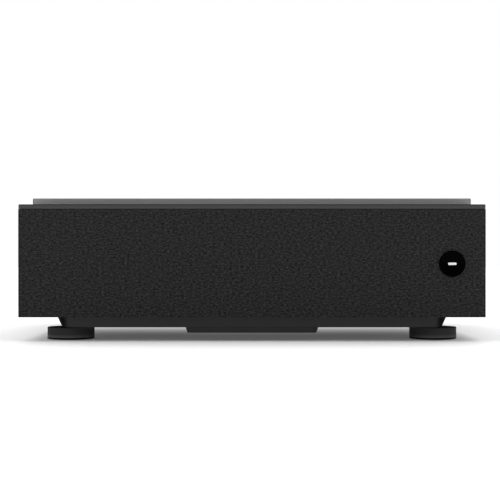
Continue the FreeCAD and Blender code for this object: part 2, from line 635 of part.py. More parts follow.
# ---------------------------------------------------------------- lens well and optics
def make_well():
    front_z, rear_z = Z_UNDER - WELL_DEPTH[0], Z_UNDER - WELL_DEPTH[1]
    half = WELL_W / 2
    w = WELL_WALL
    tub = prism([(WELL_Y0 - w, Z_UNDER), (WELL_Y0 - w, front_z - w), (WELL_Y1 + w, rear_z - w),
                 (WELL_Y1 + w, Z_UNDER)], X, -half - w, 2 * (half + w))
    rim = box(-half - WELL_FLANGE, half + WELL_FLANGE, WELL_Y0 - WELL_FLANGE, WELL_Y1 + WELL_FLANGE,
              Z_UNDER - w, Z_UNDER)
    room = prism([(WELL_Y0, Z_UNDER), (WELL_Y0, front_z), (WELL_Y1, rear_z), (WELL_Y1, Z_UNDER)],
                 X, -half, 2 * half)
    slope = math.degrees(math.atan2(rear_z - front_z, WELL_D))
    middle = (0.0, (WELL_Y0 + WELL_Y1) / 2, (front_z + rear_z) / 2)
    hole = block((WINDOW[0], WINDOW[1], 4 * w), 0.0, middle[1], middle[2] - 2 * w)
    nodes["lens_well"] = fuse(tub, rim).cut(room).cut(turned(hole, middle, X, slope))
    size = (WINDOW[0] + 2 * WINDOW_LAP, WINDOW[1] + 2 * WINDOW_LAP, WINDOW_T)
    pane = block(size, 0.0, middle[1], middle[2])
    pane = pane.makeFillet(3.0, edges_along(pane, Z))
    nodes["lens_window"] = turned(pane, middle, X, slope)


def make_lens():
    engine_x = LIGHT_X + ENGINE[0] / 2
    barrel_l = -FOLD / 2 - engine_x
    centre = (engine_x, AXIS_Y, AXIS_Z)
    nodes["lens_barrel"] = ring(BARREL_R, BARREL_R - BARREL_WALL, barrel_l, centre, X)
    bore = BARREL_R + RUN_CLEAR
    nodes["focus_ring"] = gear(FOCUS_TEETH, FOCUS_MODULE, math.pi / 2 + math.pi / FOCUS_TEETH, FOCUS_X,
                               AXIS_Y, AXIS_Z, FOCUS_W, bore)
    pinion = gear(FOCUS_PINION_TEETH, FOCUS_MODULE, -math.pi / 2, FOCUS_X, AXIS_Y, FOCUS_PINION_Z,
                  FOCUS_W, SHAFT_R / 2)
    radius, length = FOCUS_MOTOR
    motor_x = FOCUS_X - 1.0 - length
    stem_x = FOCUS_X - 1.0 - length / 2
    stem = rod(SHAFT_R / 2, FOCUS_X + FOCUS_W - stem_x, (stem_x, AXIS_Y, FOCUS_PINION_Z), X)
    nodes["focus_pinion"] = fuse(pinion, stem)
    can = rod(radius, length, (motor_x, AXIS_Y, FOCUS_PINION_Z), X)
    saddle = box(motor_x, motor_x + length, AXIS_Y - radius / 2, AXIS_Y + radius / 2,
                 AXIS_Z, FOCUS_PINION_Z).cut(rod(BARREL_R, length, (motor_x, AXIS_Y, AXIS_Z), X))
    bored = rod(SHAFT_R / 2 + RUN_CLEAR, length, (motor_x + length / 2, AXIS_Y, FOCUS_PINION_Z), X)
    nodes["focus_motor"] = fuse(can, saddle).cut(bored)
    cell_r = BARREL_R - BARREL_WALL - RUN_CLEAR
    cell_x = FOCUS_X + FOCUS_W / 2 - CELL_L / 2
    nodes["focus_cell"] = fuse(ring(cell_r, cell_r - CELL_WALL, CELL_L, (cell_x, AXIS_Y, AXIS_Z), X),
                               rod(cell_r - CELL_WALL, CELL_L / 3, (cell_x + CELL_L / 3, AXIS_Y, AXIS_Z), X))

    half = FOLD / 2
    cube = box(-half, half, AXIS_Y - half, AXIS_Y + half, AXIS_Z - half, AXIS_Z + half)
    post = box(-half / 2, half / 2, AXIS_Y - half / 2, AXIS_Y + half / 2, Z_TRAY, AXIS_Z - half)
    room = half - FOLD_WALL
    radius, length = FRONT_TUBE
    nose = rod(radius, length, (0.0, AXIS_Y - half - length, AXIS_Z), Y)
    shell = fuse(cube, post, nose)
    shell = shell.cut(box(-room, room, AXIS_Y - room, AXIS_Y + room, AXIS_Z - room, AXIS_Z + room))
    shell = shell.cut(rod(BARREL_R - BARREL_WALL, half, (-half, AXIS_Y, AXIS_Z), X))
    shell = shell.cut(rod(FRONT_LENS_R, half + length, (0.0, AXIS_Y - half - length, AXIS_Z), Y))
    w, h, t = FOLD_MIRROR
    plate = turned(block((w, t, h), 0.0, AXIS_Y + t / 2, AXIS_Z - h / 2), (0.0, AXIS_Y, AXIS_Z), Z, -45.0)
    nodes["fold_housing"] = Part.makeCompound([shell, plate])
    face = AXIS_Y - half - length + 1.0
    crown = face - FRONT_LENS_RISE
    sphere_r = (FRONT_LENS_R ** 2 + FRONT_LENS_RISE ** 2) / (2 * FRONT_LENS_RISE)
    mid_r = FRONT_LENS_R / 2
    mid_y = crown + sphere_r - math.sqrt(sphere_r ** 2 - mid_r ** 2)
    pole, mid, rim = [Vector(r, y, AXIS_Z) for r, y in ((0.0, crown), (mid_r, mid_y), (FRONT_LENS_R, face))]
    back = [Vector(r, face + length / 2, AXIS_Z) for r in (FRONT_LENS_R, 0.0)]
    curve = Part.Wire([Part.Arc(pole, mid, rim).toShape(), Part.makeLine(rim, back[0]),
                       Part.makeLine(back[0], back[1]), Part.makeLine(back[1], pole)])
    nodes["front_lens"] = Part.Face(curve).revolve(Vector(0, 0, AXIS_Z), Y, 360.0)


def make_mirror():
    y, z = AXIS_Y - MIRROR_FROM_AXIS, AXIS_Z + MIRROR_UP
    w, h, t = MIRROR
    slope = MIRROR_TILT - 90.0
    plate = block((w, h, t), 0.0, 0.0, -t)
    dish = plate.cut(Part.makeSphere(MIRROR_R, Vector(0.0, 0.0, MIRROR_R - MIRROR_DEPTH)))
    back = block((w - 2 * MOUNT_INSET, h - 2 * MOUNT_INSET, MOUNT_T), 0.0, 0.0, -t - MOUNT_T)
    for shape in (dish, back):
        shape.rotate(Vector(0, 0, 0), X, slope)
        shape.translate(Vector(0.0, y, z))
    nodes["concave_mirror"] = dish
    angle = math.radians(slope)

    def across(v, depth):
        return (y + v * math.cos(angle) - depth * math.sin(angle),
                z + v * math.sin(angle) + depth * math.cos(angle))
    half = h / 2 - MOUNT_INSET
    low, high = across(half, -t - MOUNT_T / 2), across(-half, -t - MOUNT_T / 2)
    outline = [low, high, (high[0] - RIB_FOOT, high[1]), (high[0] - RIB_FOOT, Z_TRAY), (low[0], Z_TRAY)]
    x = w / 2 - MOUNT_INSET
    ribs = [prism(outline, X, start, RIB_T) for start in (-x, -RIB_T / 2, x - RIB_T)]
    nodes["mirror_mount"] = fuse(back, *ribs)


# ---------------------------------------------------------------- light source
def hollow_box(size, x, y, z, wall, open_top):
    outer = block(size, x, y, z)
    height = size[2] - (wall if open_top else 2 * wall)
    return outer.cut(block((size[0] - 2 * wall, size[1] - 2 * wall, height), x, y, z + wall))


def fins_x(x0, x1, y0, y1, z0, z1):
    """Comb of upright fins that stand on the face x1 and point to x0."""
    plates = [box(x0, x1, y - FIN_T / 2, y + FIN_T / 2, z0, z1)
              for y in spread(y0 + FIN_T / 2, y1 - FIN_T / 2, FIN_PITCH)]
    return fuse(box(x1 - 3.0, x1, y0, y1, z0, z1), *plates)


def make_engine():
    top = AXIS_Z + ENGINE[2] / 2
    size = (ENGINE[0], ENGINE[1], top - Z_TRAY)
    engine = hollow_box(size, LIGHT_X, AXIS_Y, Z_TRAY, ENGINE_WALL, False)
    side = ENGINE[0] / 2
    port = rod(BARREL_R - BARREL_WALL, ENGINE_WALL, (LIGHT_X + side - ENGINE_WALL, AXIS_Y, AXIS_Z), X)
    engine = engine.cut(port)
    nodes["light_engine"] = engine.cut(rod(LIGHT_HOLE_R, ENGINE_WALL, (LIGHT_X, ENGINE_FRONT, AXIS_Z), Y))
    x = LIGHT_X - side
    w, h = CHIP_BOARD
    board = box(x - BOARD_T, x, AXIS_Y - w / 2, AXIS_Y + w / 2, AXIS_Z - h / 2, AXIS_Z + h / 2)
    sink = fins_x(x - BOARD_T - CHIP_SINK, x - BOARD_T, AXIS_Y - w / 2 + 4, AXIS_Y + w / 2 - 4,
                  AXIS_Z - h / 2 + 4, AXIS_Z + h / 2 - 4)
    nodes["chip_board"] = Part.makeCompound([board, sink])


def make_source():
    y_mid = HOUSING_FRONT + HOUSING[1] / 2
    housing = hollow_box(HOUSING, LIGHT_X, y_mid, Z_TRAY, HOUSING_WALL, False)
    holes = [rod(LIGHT_HOLE_R, HOUSING_WALL, (LIGHT_X, y, AXIS_Z), Y)
             for y in (HOUSING_FRONT, HOUSING_FRONT + HOUSING[1] - HOUSING_WALL)]
    housing = housing.cut(Part.makeCompound(holes))
    tunnel = ring(TUNNEL_R, LIGHT_HOLE_R, HOUSING_GAP, (LIGHT_X, HOUSING_FRONT + HOUSING[1], AXIS_Z), Y)
    hub_r, hub_l = HUB
    z = AXIS_Z + WHEEL_UP
    inside = HOUSING_FRONT + HOUSING_WALL
    motors = []
    for name, radius, sign, y in (("phosphor_wheel", PHOSPHOR_R, 1, inside),
                                  ("colour_wheel", COLOUR_R, -1, inside + HOUSING[1] - 2 * HOUSING_WALL)):
        can_y = y if sign > 0 else y - WHEEL_MOTOR_L
        motors.append(rod(hub_r, WHEEL_MOTOR_L, (LIGHT_X, can_y, z), Y))
        hub_y = y + sign * (WHEEL_MOTOR_L + WHEEL_GAP)
        start = hub_y if sign > 0 else hub_y - hub_l
        disc_y = start + hub_l / 2 - WHEEL_T / 2
        hub = fuse(rod(hub_r, hub_l, (LIGHT_X, start, z), Y), rod(radius, WHEEL_T, (LIGHT_X, disc_y, z), Y))
        notch = rod(hub_r / 4, WHEEL_T, (LIGHT_X + hub_r * 1.5, disc_y, z), Y)
        nodes[name] = hub.cut(notch)
    nodes["wheel_housing"] = fuse(housing, tunnel, *motors)
    nodes["laser_module"] = block((LASER[0], LASER[1], LASER[2]), LIGHT_X, LASER_FRONT + LASER[1] / 2,
                                  AXIS_Z - LASER[2] / 2)
    stand = block((LASER[0], LASER[1], AXIS_Z - LASER[2] / 2 - Z_TRAY), LIGHT_X,
                  LASER_FRONT + LASER[1] / 2, Z_TRAY)
    nodes["laser_module"] = fuse(nodes["laser_module"], stand)
    make_sink()


def make_sink():
    plate_y = LASER_FRONT - COLD_PLATE_T / 2
    plate = block((LASER[0], COLD_PLATE_T, LASER[2]), LIGHT_X, plate_y, AXIS_Z - LASER[2] / 2)
    sink_x = LIGHT_X - HOUSING[0] / 2 - SINK_CLEAR - SINK[0] / 2
    sink_y0 = REAR - FAN_LEFT_FROM_REAR - SINK[1] / 2
    sink_y1 = sink_y0 + SINK[1]
    z0 = AXIS_Z - SINK[2] / 2 + SINK_UP
    pipes = []
    for level in PIPE_LEVELS:
        z = AXIS_Z + level
        right = LIGHT_X + LASER[0] / 2 - PIPE_SHORT
        turn = Vector(sink_x + PIPE_BEND, plate_y + PIPE_BEND, z)
        straight = rod(PIPE_R, right - turn.x, (turn.x, plate_y, z), X)
        along = rod(PIPE_R, sink_y1 - turn.y, (sink_x, turn.y, z), Y)
        circle = Part.Wire(Part.makeCircle(PIPE_R, Vector(turn.x, plate_y, z), X))
        elbow = Part.Face(circle).revolve(turn, Z, -90.0)
        pipes.append(fuse(straight, Part.Solid(elbow), along))
    holes = Part.makeCompound(pipes)
    fins = [box(sink_x - SINK[0] / 2, sink_x + SINK[0] / 2, y - FIN_T / 2, y + FIN_T / 2, z0, z0 + SINK[2])
            for y in spread(sink_y0, sink_y1, FIN_PITCH)]
    foot = box(sink_x - SINK[0] / 2, sink_x + SINK[0] / 2, sink_y0, sink_y1, Z_TRAY, z0)
    nodes["laser_cooler"] = Part.makeCompound([fuse(foot, *fins).cut(holes), plate.cut(holes)] + pipes)


# ---------------------------------------------------------------- air, sound and boards
def make_fans():
    z = Z_TRAY + FAN / 2
    inset = WALL + SEAM + FAN_CLEAR + FAN_T / 2
    places = {"left": (LEFT + inset, REAR - FAN_LEFT_FROM_REAR, 1),
              "right_front": (RIGHT - inset, FRONT + FANS_RIGHT_FROM_FRONT[0], -1),
              "right_rear": (RIGHT - inset, FRONT + FANS_RIGHT_FROM_FRONT[1], -1)}
    frames = []
    for name, (x, y, inward) in places.items():
        centre = (x - FAN_T / 2, y, z)
        frame = box(x - FAN_T / 2, x + FAN_T / 2, y - FAN / 2, y + FAN / 2, z - FAN / 2, z + FAN / 2)
        frame = frame.makeFillet(FAN_CORNER_R, edges_along(frame, X)).cut(rod(FAN_BORE, FAN_T, centre, X))
        seat_x = x + FAN_T / 2 - FAN_SEAT_T if inward > 0 else x - FAN_T / 2
        seat = rod(FAN_HUB_R, FAN_SEAT_T, (seat_x, y, z), X)
        struts = [turned(box(seat_x, seat_x + FAN_SEAT_T, y - FAN_STRUT_W / 2, y + FAN_STRUT_W / 2,
                             z, z + FAN_BORE + FAN_RIM / 2),
                         (x, y, z), X, 45.0 + 90.0 * i) for i in range(4)]
        frames.append(fuse(frame, seat, *struts))
        hub_l = FAN_T - FAN_SEAT_T - 2 * ROTOR_GAP
        hub_x = x - FAN_T / 2 + ROTOR_GAP if inward > 0 else x + FAN_T / 2 - ROTOR_GAP - hub_l
        hub = rod(FAN_HUB_R, hub_l, (hub_x, y, z), X)
        reach = FAN_BORE - FAN_TIP_GAP
        swept = rod(reach, hub_l - ROTOR_GAP, (hub_x + ROTOR_GAP / 2, y, z), X)
        blades = []
        for i in range(FAN_BLADES):
            blade = box(hub_x - hub_l, hub_x + 2 * hub_l, y - BLADE_T / 2, y + BLADE_T / 2,
                        z + FAN_HUB_R - BLADE_T, z + FAN / 2)
            blade = turned(blade, (hub_x + hub_l / 2, y, z), Z, BLADE_PITCH)
            blades.append(turned(blade, (x, y, z), X, 360.0 * i / FAN_BLADES).common(swept))
        nodes["fan_rotor_" + name] = fuse(hub, *blades)
    nodes["fan_frames"] = Part.makeCompound(frames)


def make_speakers():
    w, d, h = SPEAKER
    boxes, drivers = [], []
    y0 = FRAME_BACK + SEAM
    for side in (-1, 1):
        x = side * (RIGHT - SPEAKER_FROM_SIDE - w / 2)
        z = Z_TRAY + h / 2
        shell = hollow_box(SPEAKER, x, y0 + d / 2, Z_TRAY, SPEAKER_WALL, False)
        boxes.append(shell.cut(rod(DRIVER_R - DRIVER_RIM, SPEAKER_WALL, (x, y0, z), Y)))
        rim = rod(DRIVER_R - DRIVER_RIM, SPEAKER_WALL, (x, y0, z), Y)
        cone = Part.makeCone(CONE_R, CONE_R / 3, CONE_DEPTH, Vector(x, y0, z), Y)
        back = Part.makeCone(DRIVER_R - DRIVER_RIM, CONE_R / 3 + DRIVER_RIM, CONE_DEPTH,
                             Vector(x, y0 + SPEAKER_WALL, z), Y)
        magnet = rod(CONE_R, MAGNET_T, (x, y0 + SPEAKER_WALL + CONE_DEPTH, z), Y)
        drivers.append(fuse(rim, back, magnet).cut(cone))
    nodes["speakers"] = Part.makeCompound(boxes + drivers)


def socket_places():
    z_board = Z_TRAY + STANDOFF[1] + BOARD_T
    return [(RIGHT - inset, z_board + SOCKET_SHELL + h / 2, w, h) for inset, w, h in SOCKETS]


def circuit_board(x0, x1, y0, y1):
    """Board on four posts."""
    z = Z_TRAY + STANDOFF[1]
    inset = STANDOFF[0] + BOARD_INSET
    posts = [rod(STANDOFF[0], STANDOFF[1], (x, y, Z_TRAY)) for x in (x0 + inset, x1 - inset)
             for y in (y0 + inset, y1 - inset)]
    return fuse(box(x0, x1, y0, y1, z, z + BOARD_T), *posts)


def bay_limits():
    """Sides, floor and ceiling of the recess for the sockets."""
    places = socket_places()
    return (min(x - w / 2 for x, z, w, h in places) - BAY_MARGIN,
            max(x + w / 2 for x, z, w, h in places) + BAY_MARGIN,
            min(z - h / 2 for x, z, w, h in places) - SOCKET_SHELL - SEAM,
            max(z + h / 2 for x, z, w, h in places) + BAY_MARGIN)


def make_sockets():
    """Metal cans with a tongue each, let through one port plate that closes the recess."""
    mouth = REAR - BAY_DEPTH
    back = mouth - SOCKET_DEPTH
    x0, x1, z0, z1 = bay_limits()
    plate = box(x0 - BAY_WALL, x1 + BAY_WALL, mouth - PORT_PLATE_T, mouth, z0, z1 + BAY_WALL)
    solids = []
    for x, z, w, h in socket_places():
        s = SOCKET_SHELL
        can = box(x - w / 2 - s, x + w / 2 + s, back, mouth + SEAM, z - h / 2 - s, z + h / 2 + s)
        plate = plate.cut(can)
        solids.append(can.cut(box(x - w / 2, x + w / 2, back + SOCKET_BACK, mouth + SEAM,
                                  z - h / 2, z + h / 2)))
        solids.append(box(x - w / 3, x + w / 3, back + SOCKET_BACK, mouth - TONGUE[0],
                          z - TONGUE[1] / 2, z + TONGUE[1] / 2))
    return solids + [plate]


def make_boards():
    top = Z_TRAY + STANDOFF[1] + BOARD_T
    w, d = SUPPLY
    y0 = FRONT + SUPPLY_FROM_FRONT
    parts = [block(size, x, y0 + y, top) for x, y, size in SUPPLY_BLOCKS]
    radius, tall = CAPACITOR
    parts += [rod(radius, tall, (x, y0 + CAPACITOR_FROM_FRONT, top)) for x in CAPACITOR_X]
    nodes["supply_board"] = Part.makeCompound([circuit_board(-w / 2, w / 2, y0, y0 + d)] + parts)
    x1 = RIGHT - MAIN_FROM_SIDE
    y0 = REAR - BAY_DEPTH - PORT_PLATE_T - SEAM - MAIN_BOARD[1]
    board = circuit_board(x1 - MAIN_BOARD[0], x1, y0, y0 + MAIN_BOARD[1])
    w, d, t = MAIN_SINK
    x, y = x1 - MAIN_SINK_PLACE[0], y0 + MAIN_SINK_PLACE[1]
    cooler = block(MAIN_SINK, x, y, top)
    fins = [box(left, left + FIN_T, y - d / 2, y + d / 2, top + t, top + t + MAIN_FIN_H)
            for left in spread(x - w / 2, x + w / 2 - FIN_T, FIN_PITCH)]
    nodes["main_board"] = Part.makeCompound([board, fuse(cooler, *fins)])
    nodes["sockets"] = Part.makeCompound(make_sockets())
    w, d, h = INLET
    z = Z_TRAY + STANDOFF[1]
    wall = INLET_WALL
    y1 = REAR - INLET_SUNK
    inlet = block((w, d, h), INLET_X, y1 - d / 2, z)
    mouth = block((w - 2 * wall, d - 2 * wall, h - 2 * wall), INLET_X, y1 - d / 2 + wall, z + wall)
    leg = box(INLET_X - INLET_LEG_W / 2, INLET_X + INLET_LEG_W / 2, REAR - d, REAR - WALL - 2 * wall,
              Z_TRAY, z)
    pins = [rod(PIN_R, d - 2 * wall - PIN_SHORT, (INLET_X + dx, y1 - d + 2 * wall, z + h / 2 + dz), Y)
            for dx, dz in PIN_PLACES]
    nodes["mains_inlet"] = Part.makeCompound([fuse(inlet.cut(mouth), leg)] + pins)


def make_button():
    y, z = REAR - BUTTON_FROM_REAR, Z_BODY + BUTTON_UP
    inner = RIGHT - WALL - BUTTON_PLAY
    cap = rod(BUTTON_R, RIGHT - BUTTON_SUNK - inner, (inner, y, z), X)
    cap = cap.makeFillet(BUTTON_EDGE_R, [e for e in cap.Edges if e.BoundBox.XMin > RIGHT - WALL / 2])
    flange = rod(BUTTON_FLANGE[0], BUTTON_FLANGE[1], (inner - BUTTON_FLANGE[1], y, z), X)
    nodes["power_button"] = fuse(cap, flange)
    x = inner - BUTTON_FLANGE[1] - BUTTON_TRAVEL - BUTTON_PLAY
    half = SWITCH / 2
    switch = box(x - half, x, y - half, y + half, z - half, z + half)
    post = box(x - half - SWITCH_POST[0], x - half, y - SWITCH_POST[1] / 2, y + SWITCH_POST[1] / 2,
               Z_TRAY, z + SWITCH)
    nodes["button_switch"] = fuse(switch, post)


def main():
    for make in (make_base, make_feet, make_front, make_deck, make_covers, make_roof, make_drive, make_well,
                 make_lens, make_mirror, make_engine, make_source, make_fans, make_speakers, make_boards,
                 make_button):
        make()
    os.makedirs("parts", exist_ok=True)
    for name, shape in nodes.items():
        shape.exportStep(os.path.join("parts", name + ".step"))
    print(len(nodes), "nodes", Part.makeCompound(list(nodes.values())).BoundBox)


main()
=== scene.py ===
"""Home projector with a cloth front and a sliding roof: its finishes, soft pieces, stage and camera.

Everything is in metres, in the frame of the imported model: +Z up, -Y towards the viewer.
"""
import math

import bmesh
import bpy
from mathutils import Matrix, Vector


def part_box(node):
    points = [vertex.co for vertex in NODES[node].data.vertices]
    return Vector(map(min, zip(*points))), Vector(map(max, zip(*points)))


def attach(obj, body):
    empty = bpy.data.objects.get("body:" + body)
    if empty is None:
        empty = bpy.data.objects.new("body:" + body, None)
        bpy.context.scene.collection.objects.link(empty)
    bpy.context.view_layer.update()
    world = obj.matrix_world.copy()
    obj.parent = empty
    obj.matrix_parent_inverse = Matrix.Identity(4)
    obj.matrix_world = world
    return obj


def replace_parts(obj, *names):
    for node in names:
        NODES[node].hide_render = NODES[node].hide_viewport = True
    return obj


bl_info = {
    "name": "Home Projector",
    "version": (1, 0, 0),
    "blender": (4, 5, 0),
    "location": "3D View > Sidebar > Projector",
    "description": "Builds the cloth, covers, optics and stage of a home projector around its frame",
    "category": "Object",
}

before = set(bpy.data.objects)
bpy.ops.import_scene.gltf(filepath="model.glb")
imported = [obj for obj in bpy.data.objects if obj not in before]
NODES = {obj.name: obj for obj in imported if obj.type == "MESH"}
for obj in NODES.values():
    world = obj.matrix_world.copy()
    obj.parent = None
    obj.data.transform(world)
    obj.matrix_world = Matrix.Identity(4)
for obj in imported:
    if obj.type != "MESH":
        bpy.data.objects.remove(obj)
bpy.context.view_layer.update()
MM = 0.001

# fits that the model's source sets, repeated for the pieces that replace its nodes
FOOT_GAP = 1.3 * MM          # foot's top to the plinth
STUD_R = 3.0 * MM
STUD_PITCH = 1.0 * MM
STUD_NECK = 0.4 * MM         # foot's top to the first thread
THREAD_DEPTH = 0.5 * MM
PAD_CLEAR = 0.3 * MM         # foot's recess to the pad in it

# small shapes
CLOTH_T = 1.0 * MM
HEM_ROUND = 0.45             # share of the cloth's thickness
CLOTH_STEPS = 40             # straight stretches along the front
BADGE_RIM = 0.5 * MM
BADGE_DISH = 0.12 * MM       # how far the badge's face lies inside its rim
BADGE_DISH_FROM = 2.0 * MM   # rim to the dish
BAR_EDGE = 0.12 * MM
ROOF_SKIN = 2.0 * MM
FOOT_TOP_R = 0.6 * MM

# thread colours, painted shade and painted highlights
# painted shade: near-black for the dark line along the deck's upper edge and for the ring at each foot's
# lower edge
PAINTED_SHADE_LINE = (0.002, 0.002, 0.002)
# painted shadow along the roof's lower edge and painted shade at its side ends
ROOF_PAINTED_SHADE = (0.004, 0.004, 0.004)
# painted shade at both ends of the plinth
PLINTH_END_PAINTED_SHADE = (0.001, 0.001, 0.001)
CLOTH_SHADED_EDGE = 1.5 * MM        # painted shade: dark strip of cloth at each side of the front
DARK_THREAD, LIGHT_THREAD = 0.20, 3.2
# painted shadow: a dark ring at each foot's lower edge, where it meets the floor
FOOT_PAINTED_SHADOW_RING = (2.35 * MM, 2.2 * MM)
# painted highlight: each foot's colour lightens towards its lower edge, standing in for the floor's
# reflection
FOOT_PAINTED_GLINT = (6.8 * MM, 2.4 * MM)
PLINTH_SHADED_ENDS = (14.0 * MM, 6.5 * MM)
SEEN_UNDER_ROOF = 2.0 * MM   # height above the deck that its front edge hides
# painted shade: width of the near-black line at each side end of the roof
ROOF_SIDE_SHADE_LINE = 1.3 * MM
UP, ACROSS = (0, 0, 1), (1, 0, 0)

# stage, in metres
CAMERA_X = -0.0021
AIM = (0.0, -0.1, 0.08)
LEFT_LIGHT, RIGHT_LIGHT = (-1.5, -1.3, 0.9), (1.6, -1.3, 0.9)
LIGHT_SIZE = 1.0
RIGHT_SHARE = 0.6
FLOOR_HALF = 6.0
# patch of painted light where the floor glows brighter below the body
PAINTED_LIGHT_START, PAINTED_LIGHT_FINISH = -90 * MM, 95 * MM
PAINTED_LIGHT_MARGIN = 15 * MM
PAINTED_LIGHT_FADE_X, PAINTED_LIGHT_FADE_Y = 30 * MM, 25 * MM
SURROUND_RISE = (0.02, 0.45)  # upward part of a direction over which the walls give way to the ceiling


def low(node):
    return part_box(node)[0]


def high(node):
    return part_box(node)[1]


# ---------------------------------------------------------------- sizes and colours
class ProjectorSizes(bpy.types.PropertyGroup):
    thread: bpy.props.FloatProperty(
        name="Cloth thread", description="Pitch of the speaker cloth's threads",
        default=0.9 * MM, unit="LENGTH", precision=5)
    cloth_corner: bpy.props.FloatProperty(
        name="Cloth corner", description="Radius of the cloth round the body's upright corners",
        default=1.6 * MM, unit="LENGTH", precision=5)
    cloth_return: bpy.props.FloatProperty(
        name="Cloth return", description="How far the cloth is turned back along each side",
        default=high("front_fabric").y - low("front_fabric").y, unit="LENGTH", precision=5)
    roof_edge: bpy.props.FloatProperty(
        name="Roof edge", description="Radius of the roof's upper edge",
        default=1.1 * MM, unit="LENGTH", precision=5)
    roof_corner: bpy.props.FloatProperty(
        name="Roof corner", description="Radius of the roof's upright corners",
        default=2.0 * MM, unit="LENGTH", precision=5)
    # the deck's dark line is painted shade along its upper edge
    deck_edge: bpy.props.FloatProperty(
        name="Deck edge", description="Depth of the dark line along the deck's upper edge",
        default=0.9 * MM, unit="LENGTH", precision=5)
    foot_edge: bpy.props.FloatProperty(
        name="Foot edge", description="Radius of a foot's lower edge",
        default=1.2 * MM, unit="LENGTH", precision=5)


class ProjectorColours(bpy.types.PropertyGroup):
    cloth: bpy.props.FloatVectorProperty(
        name="Cloth", description="Colour of the speaker cloth",
        default=(0.0212, 0.0212, 0.0218), subtype="COLOR", min=0.0, max=1.0)
    shell: bpy.props.FloatVectorProperty(
        name="Shell", description="Colour of the side and rear covers",
        default=(0.022, 0.022, 0.023), subtype="COLOR", min=0.0, max=1.0)
    rim: bpy.props.FloatVectorProperty(
        name="Rim", description="Colour of the rim round the top deck",
        default=(0.0640, 0.0640, 0.0652), subtype="COLOR", min=0.0, max=1.0)
    deck: bpy.props.FloatVectorProperty(
        name="Deck", description="Colour of the deck's top",
        default=(0.016, 0.016, 0.017), subtype="COLOR", min=0.0, max=1.0)
    roof: bpy.props.FloatVectorProperty(
        name="Roof", description="Colour of the sliding roof",
        default=(0.312, 0.312, 0.315), subtype="COLOR", min=0.0, max=1.0)
    base: bpy.props.FloatVectorProperty(
        name="Base", description="Colour of the plinth, the hatch and the feet",
        default=(0.0330, 0.0330, 0.0340), subtype="COLOR", min=0.0, max=1.0)


class ProjectorStage(bpy.types.PropertyGroup):
    distance: bpy.props.FloatProperty(
        name="Camera distance", description="Camera to the front of the body",
        default=1.460, unit="LENGTH")
    height: bpy.props.FloatProperty(
        name="Camera height", description="Level camera above the floor",
        default=0.098, unit="LENGTH")
    lens: bpy.props.FloatProperty(
        name="Lens", description="Focal length on a 36 mm sensor, in millimetres", default=98.45)
    backdrop: bpy.props.FloatProperty(
        name="Backdrop", description="Brightness of the plain white backdrop", default=1.0, min=0.0)
    ceiling: bpy.props.FloatProperty(
        name="Ceiling", description="Brightness of the soft light from overhead", default=1.5, min=0.0)
    back: bpy.props.FloatProperty(
        name="Back light", description="Share by which the ceiling is brighter behind than in front",
        default=0.75, min=0.0, max=1.0)
    walls: bpy.props.FloatProperty(
        name="Walls", description="Brightness of the dark walls around the stage", default=0.03, min=0.0)
    floor_glow: bpy.props.FloatProperty(
        name="Floor glow", description="Light that comes through the translucent floor",
        default=0.09, min=0.0)
    # painted light: the floor glows brighter in a patch below the middle of the body
    painted_floor_light: bpy.props.FloatProperty(
        name="Floor lamp", description="Extra light through the floor below the middle of the body",
        default=0.53, min=0.0)
    key: bpy.props.FloatProperty(
        name="Side light", description="Power of the soft light at the left, in watts",
        default=3.0, min=0.0)


def settings():
    scene = bpy.context.scene
    return scene.projector_sizes, scene.projector_colours, scene.projector_stage


# ---------------------------------------------------------------- shader groups
def add(tree, kind, **values):
    """A node whose properties and socket defaults are given by name."""
    node = tree.nodes.new(kind)
    for key, value in values.items():
        if hasattr(node, key):
            setattr(node, key, value)
        else:
            node.inputs[key.replace("_", " ")].default_value = value
    return node


def sum_up(tree, operation, first, second):
    """A Math node on two sockets or numbers."""
    node = add(tree, "ShaderNodeMath", operation=operation)
    for socket, value in zip(node.inputs, (first, second)):
        if isinstance(value, (int, float)):
            socket.default_value = value
        else:
            tree.links.new(value, socket)
    return node.outputs[0]


def mix_colour(tree, factor, first, second):
    node = add(tree, "ShaderNodeMix", data_type="RGBA")
    tree.links.new(factor, node.inputs["Factor"])
    for name, value in (("A", first), ("B", second)):
        socket = [s for s in node.inputs if s.name == name and s.type == "RGBA"][0]
        if hasattr(value, "is_output"):
            tree.links.new(value, socket)
        else:
            socket.default_value = value
    return [s for s in node.outputs if s.type == "RGBA"][0]


def new_group(name, inputs, outputs):
    tree = bpy.data.node_groups.new(name, "ShaderNodeTree")
    for label, kind, value in inputs:
        tree.interface.new_socket(label, in_out="INPUT", socket_type=kind).default_value = value
    for label, kind in outputs:
        tree.interface.new_socket(label, in_out="OUTPUT", socket_type=kind)
    return tree, tree.nodes.new("NodeGroupInput").outputs, tree.nodes.new("NodeGroupOutput").inputs


def once(name, build):
    return bpy.data.node_groups.get(name) or build(name)


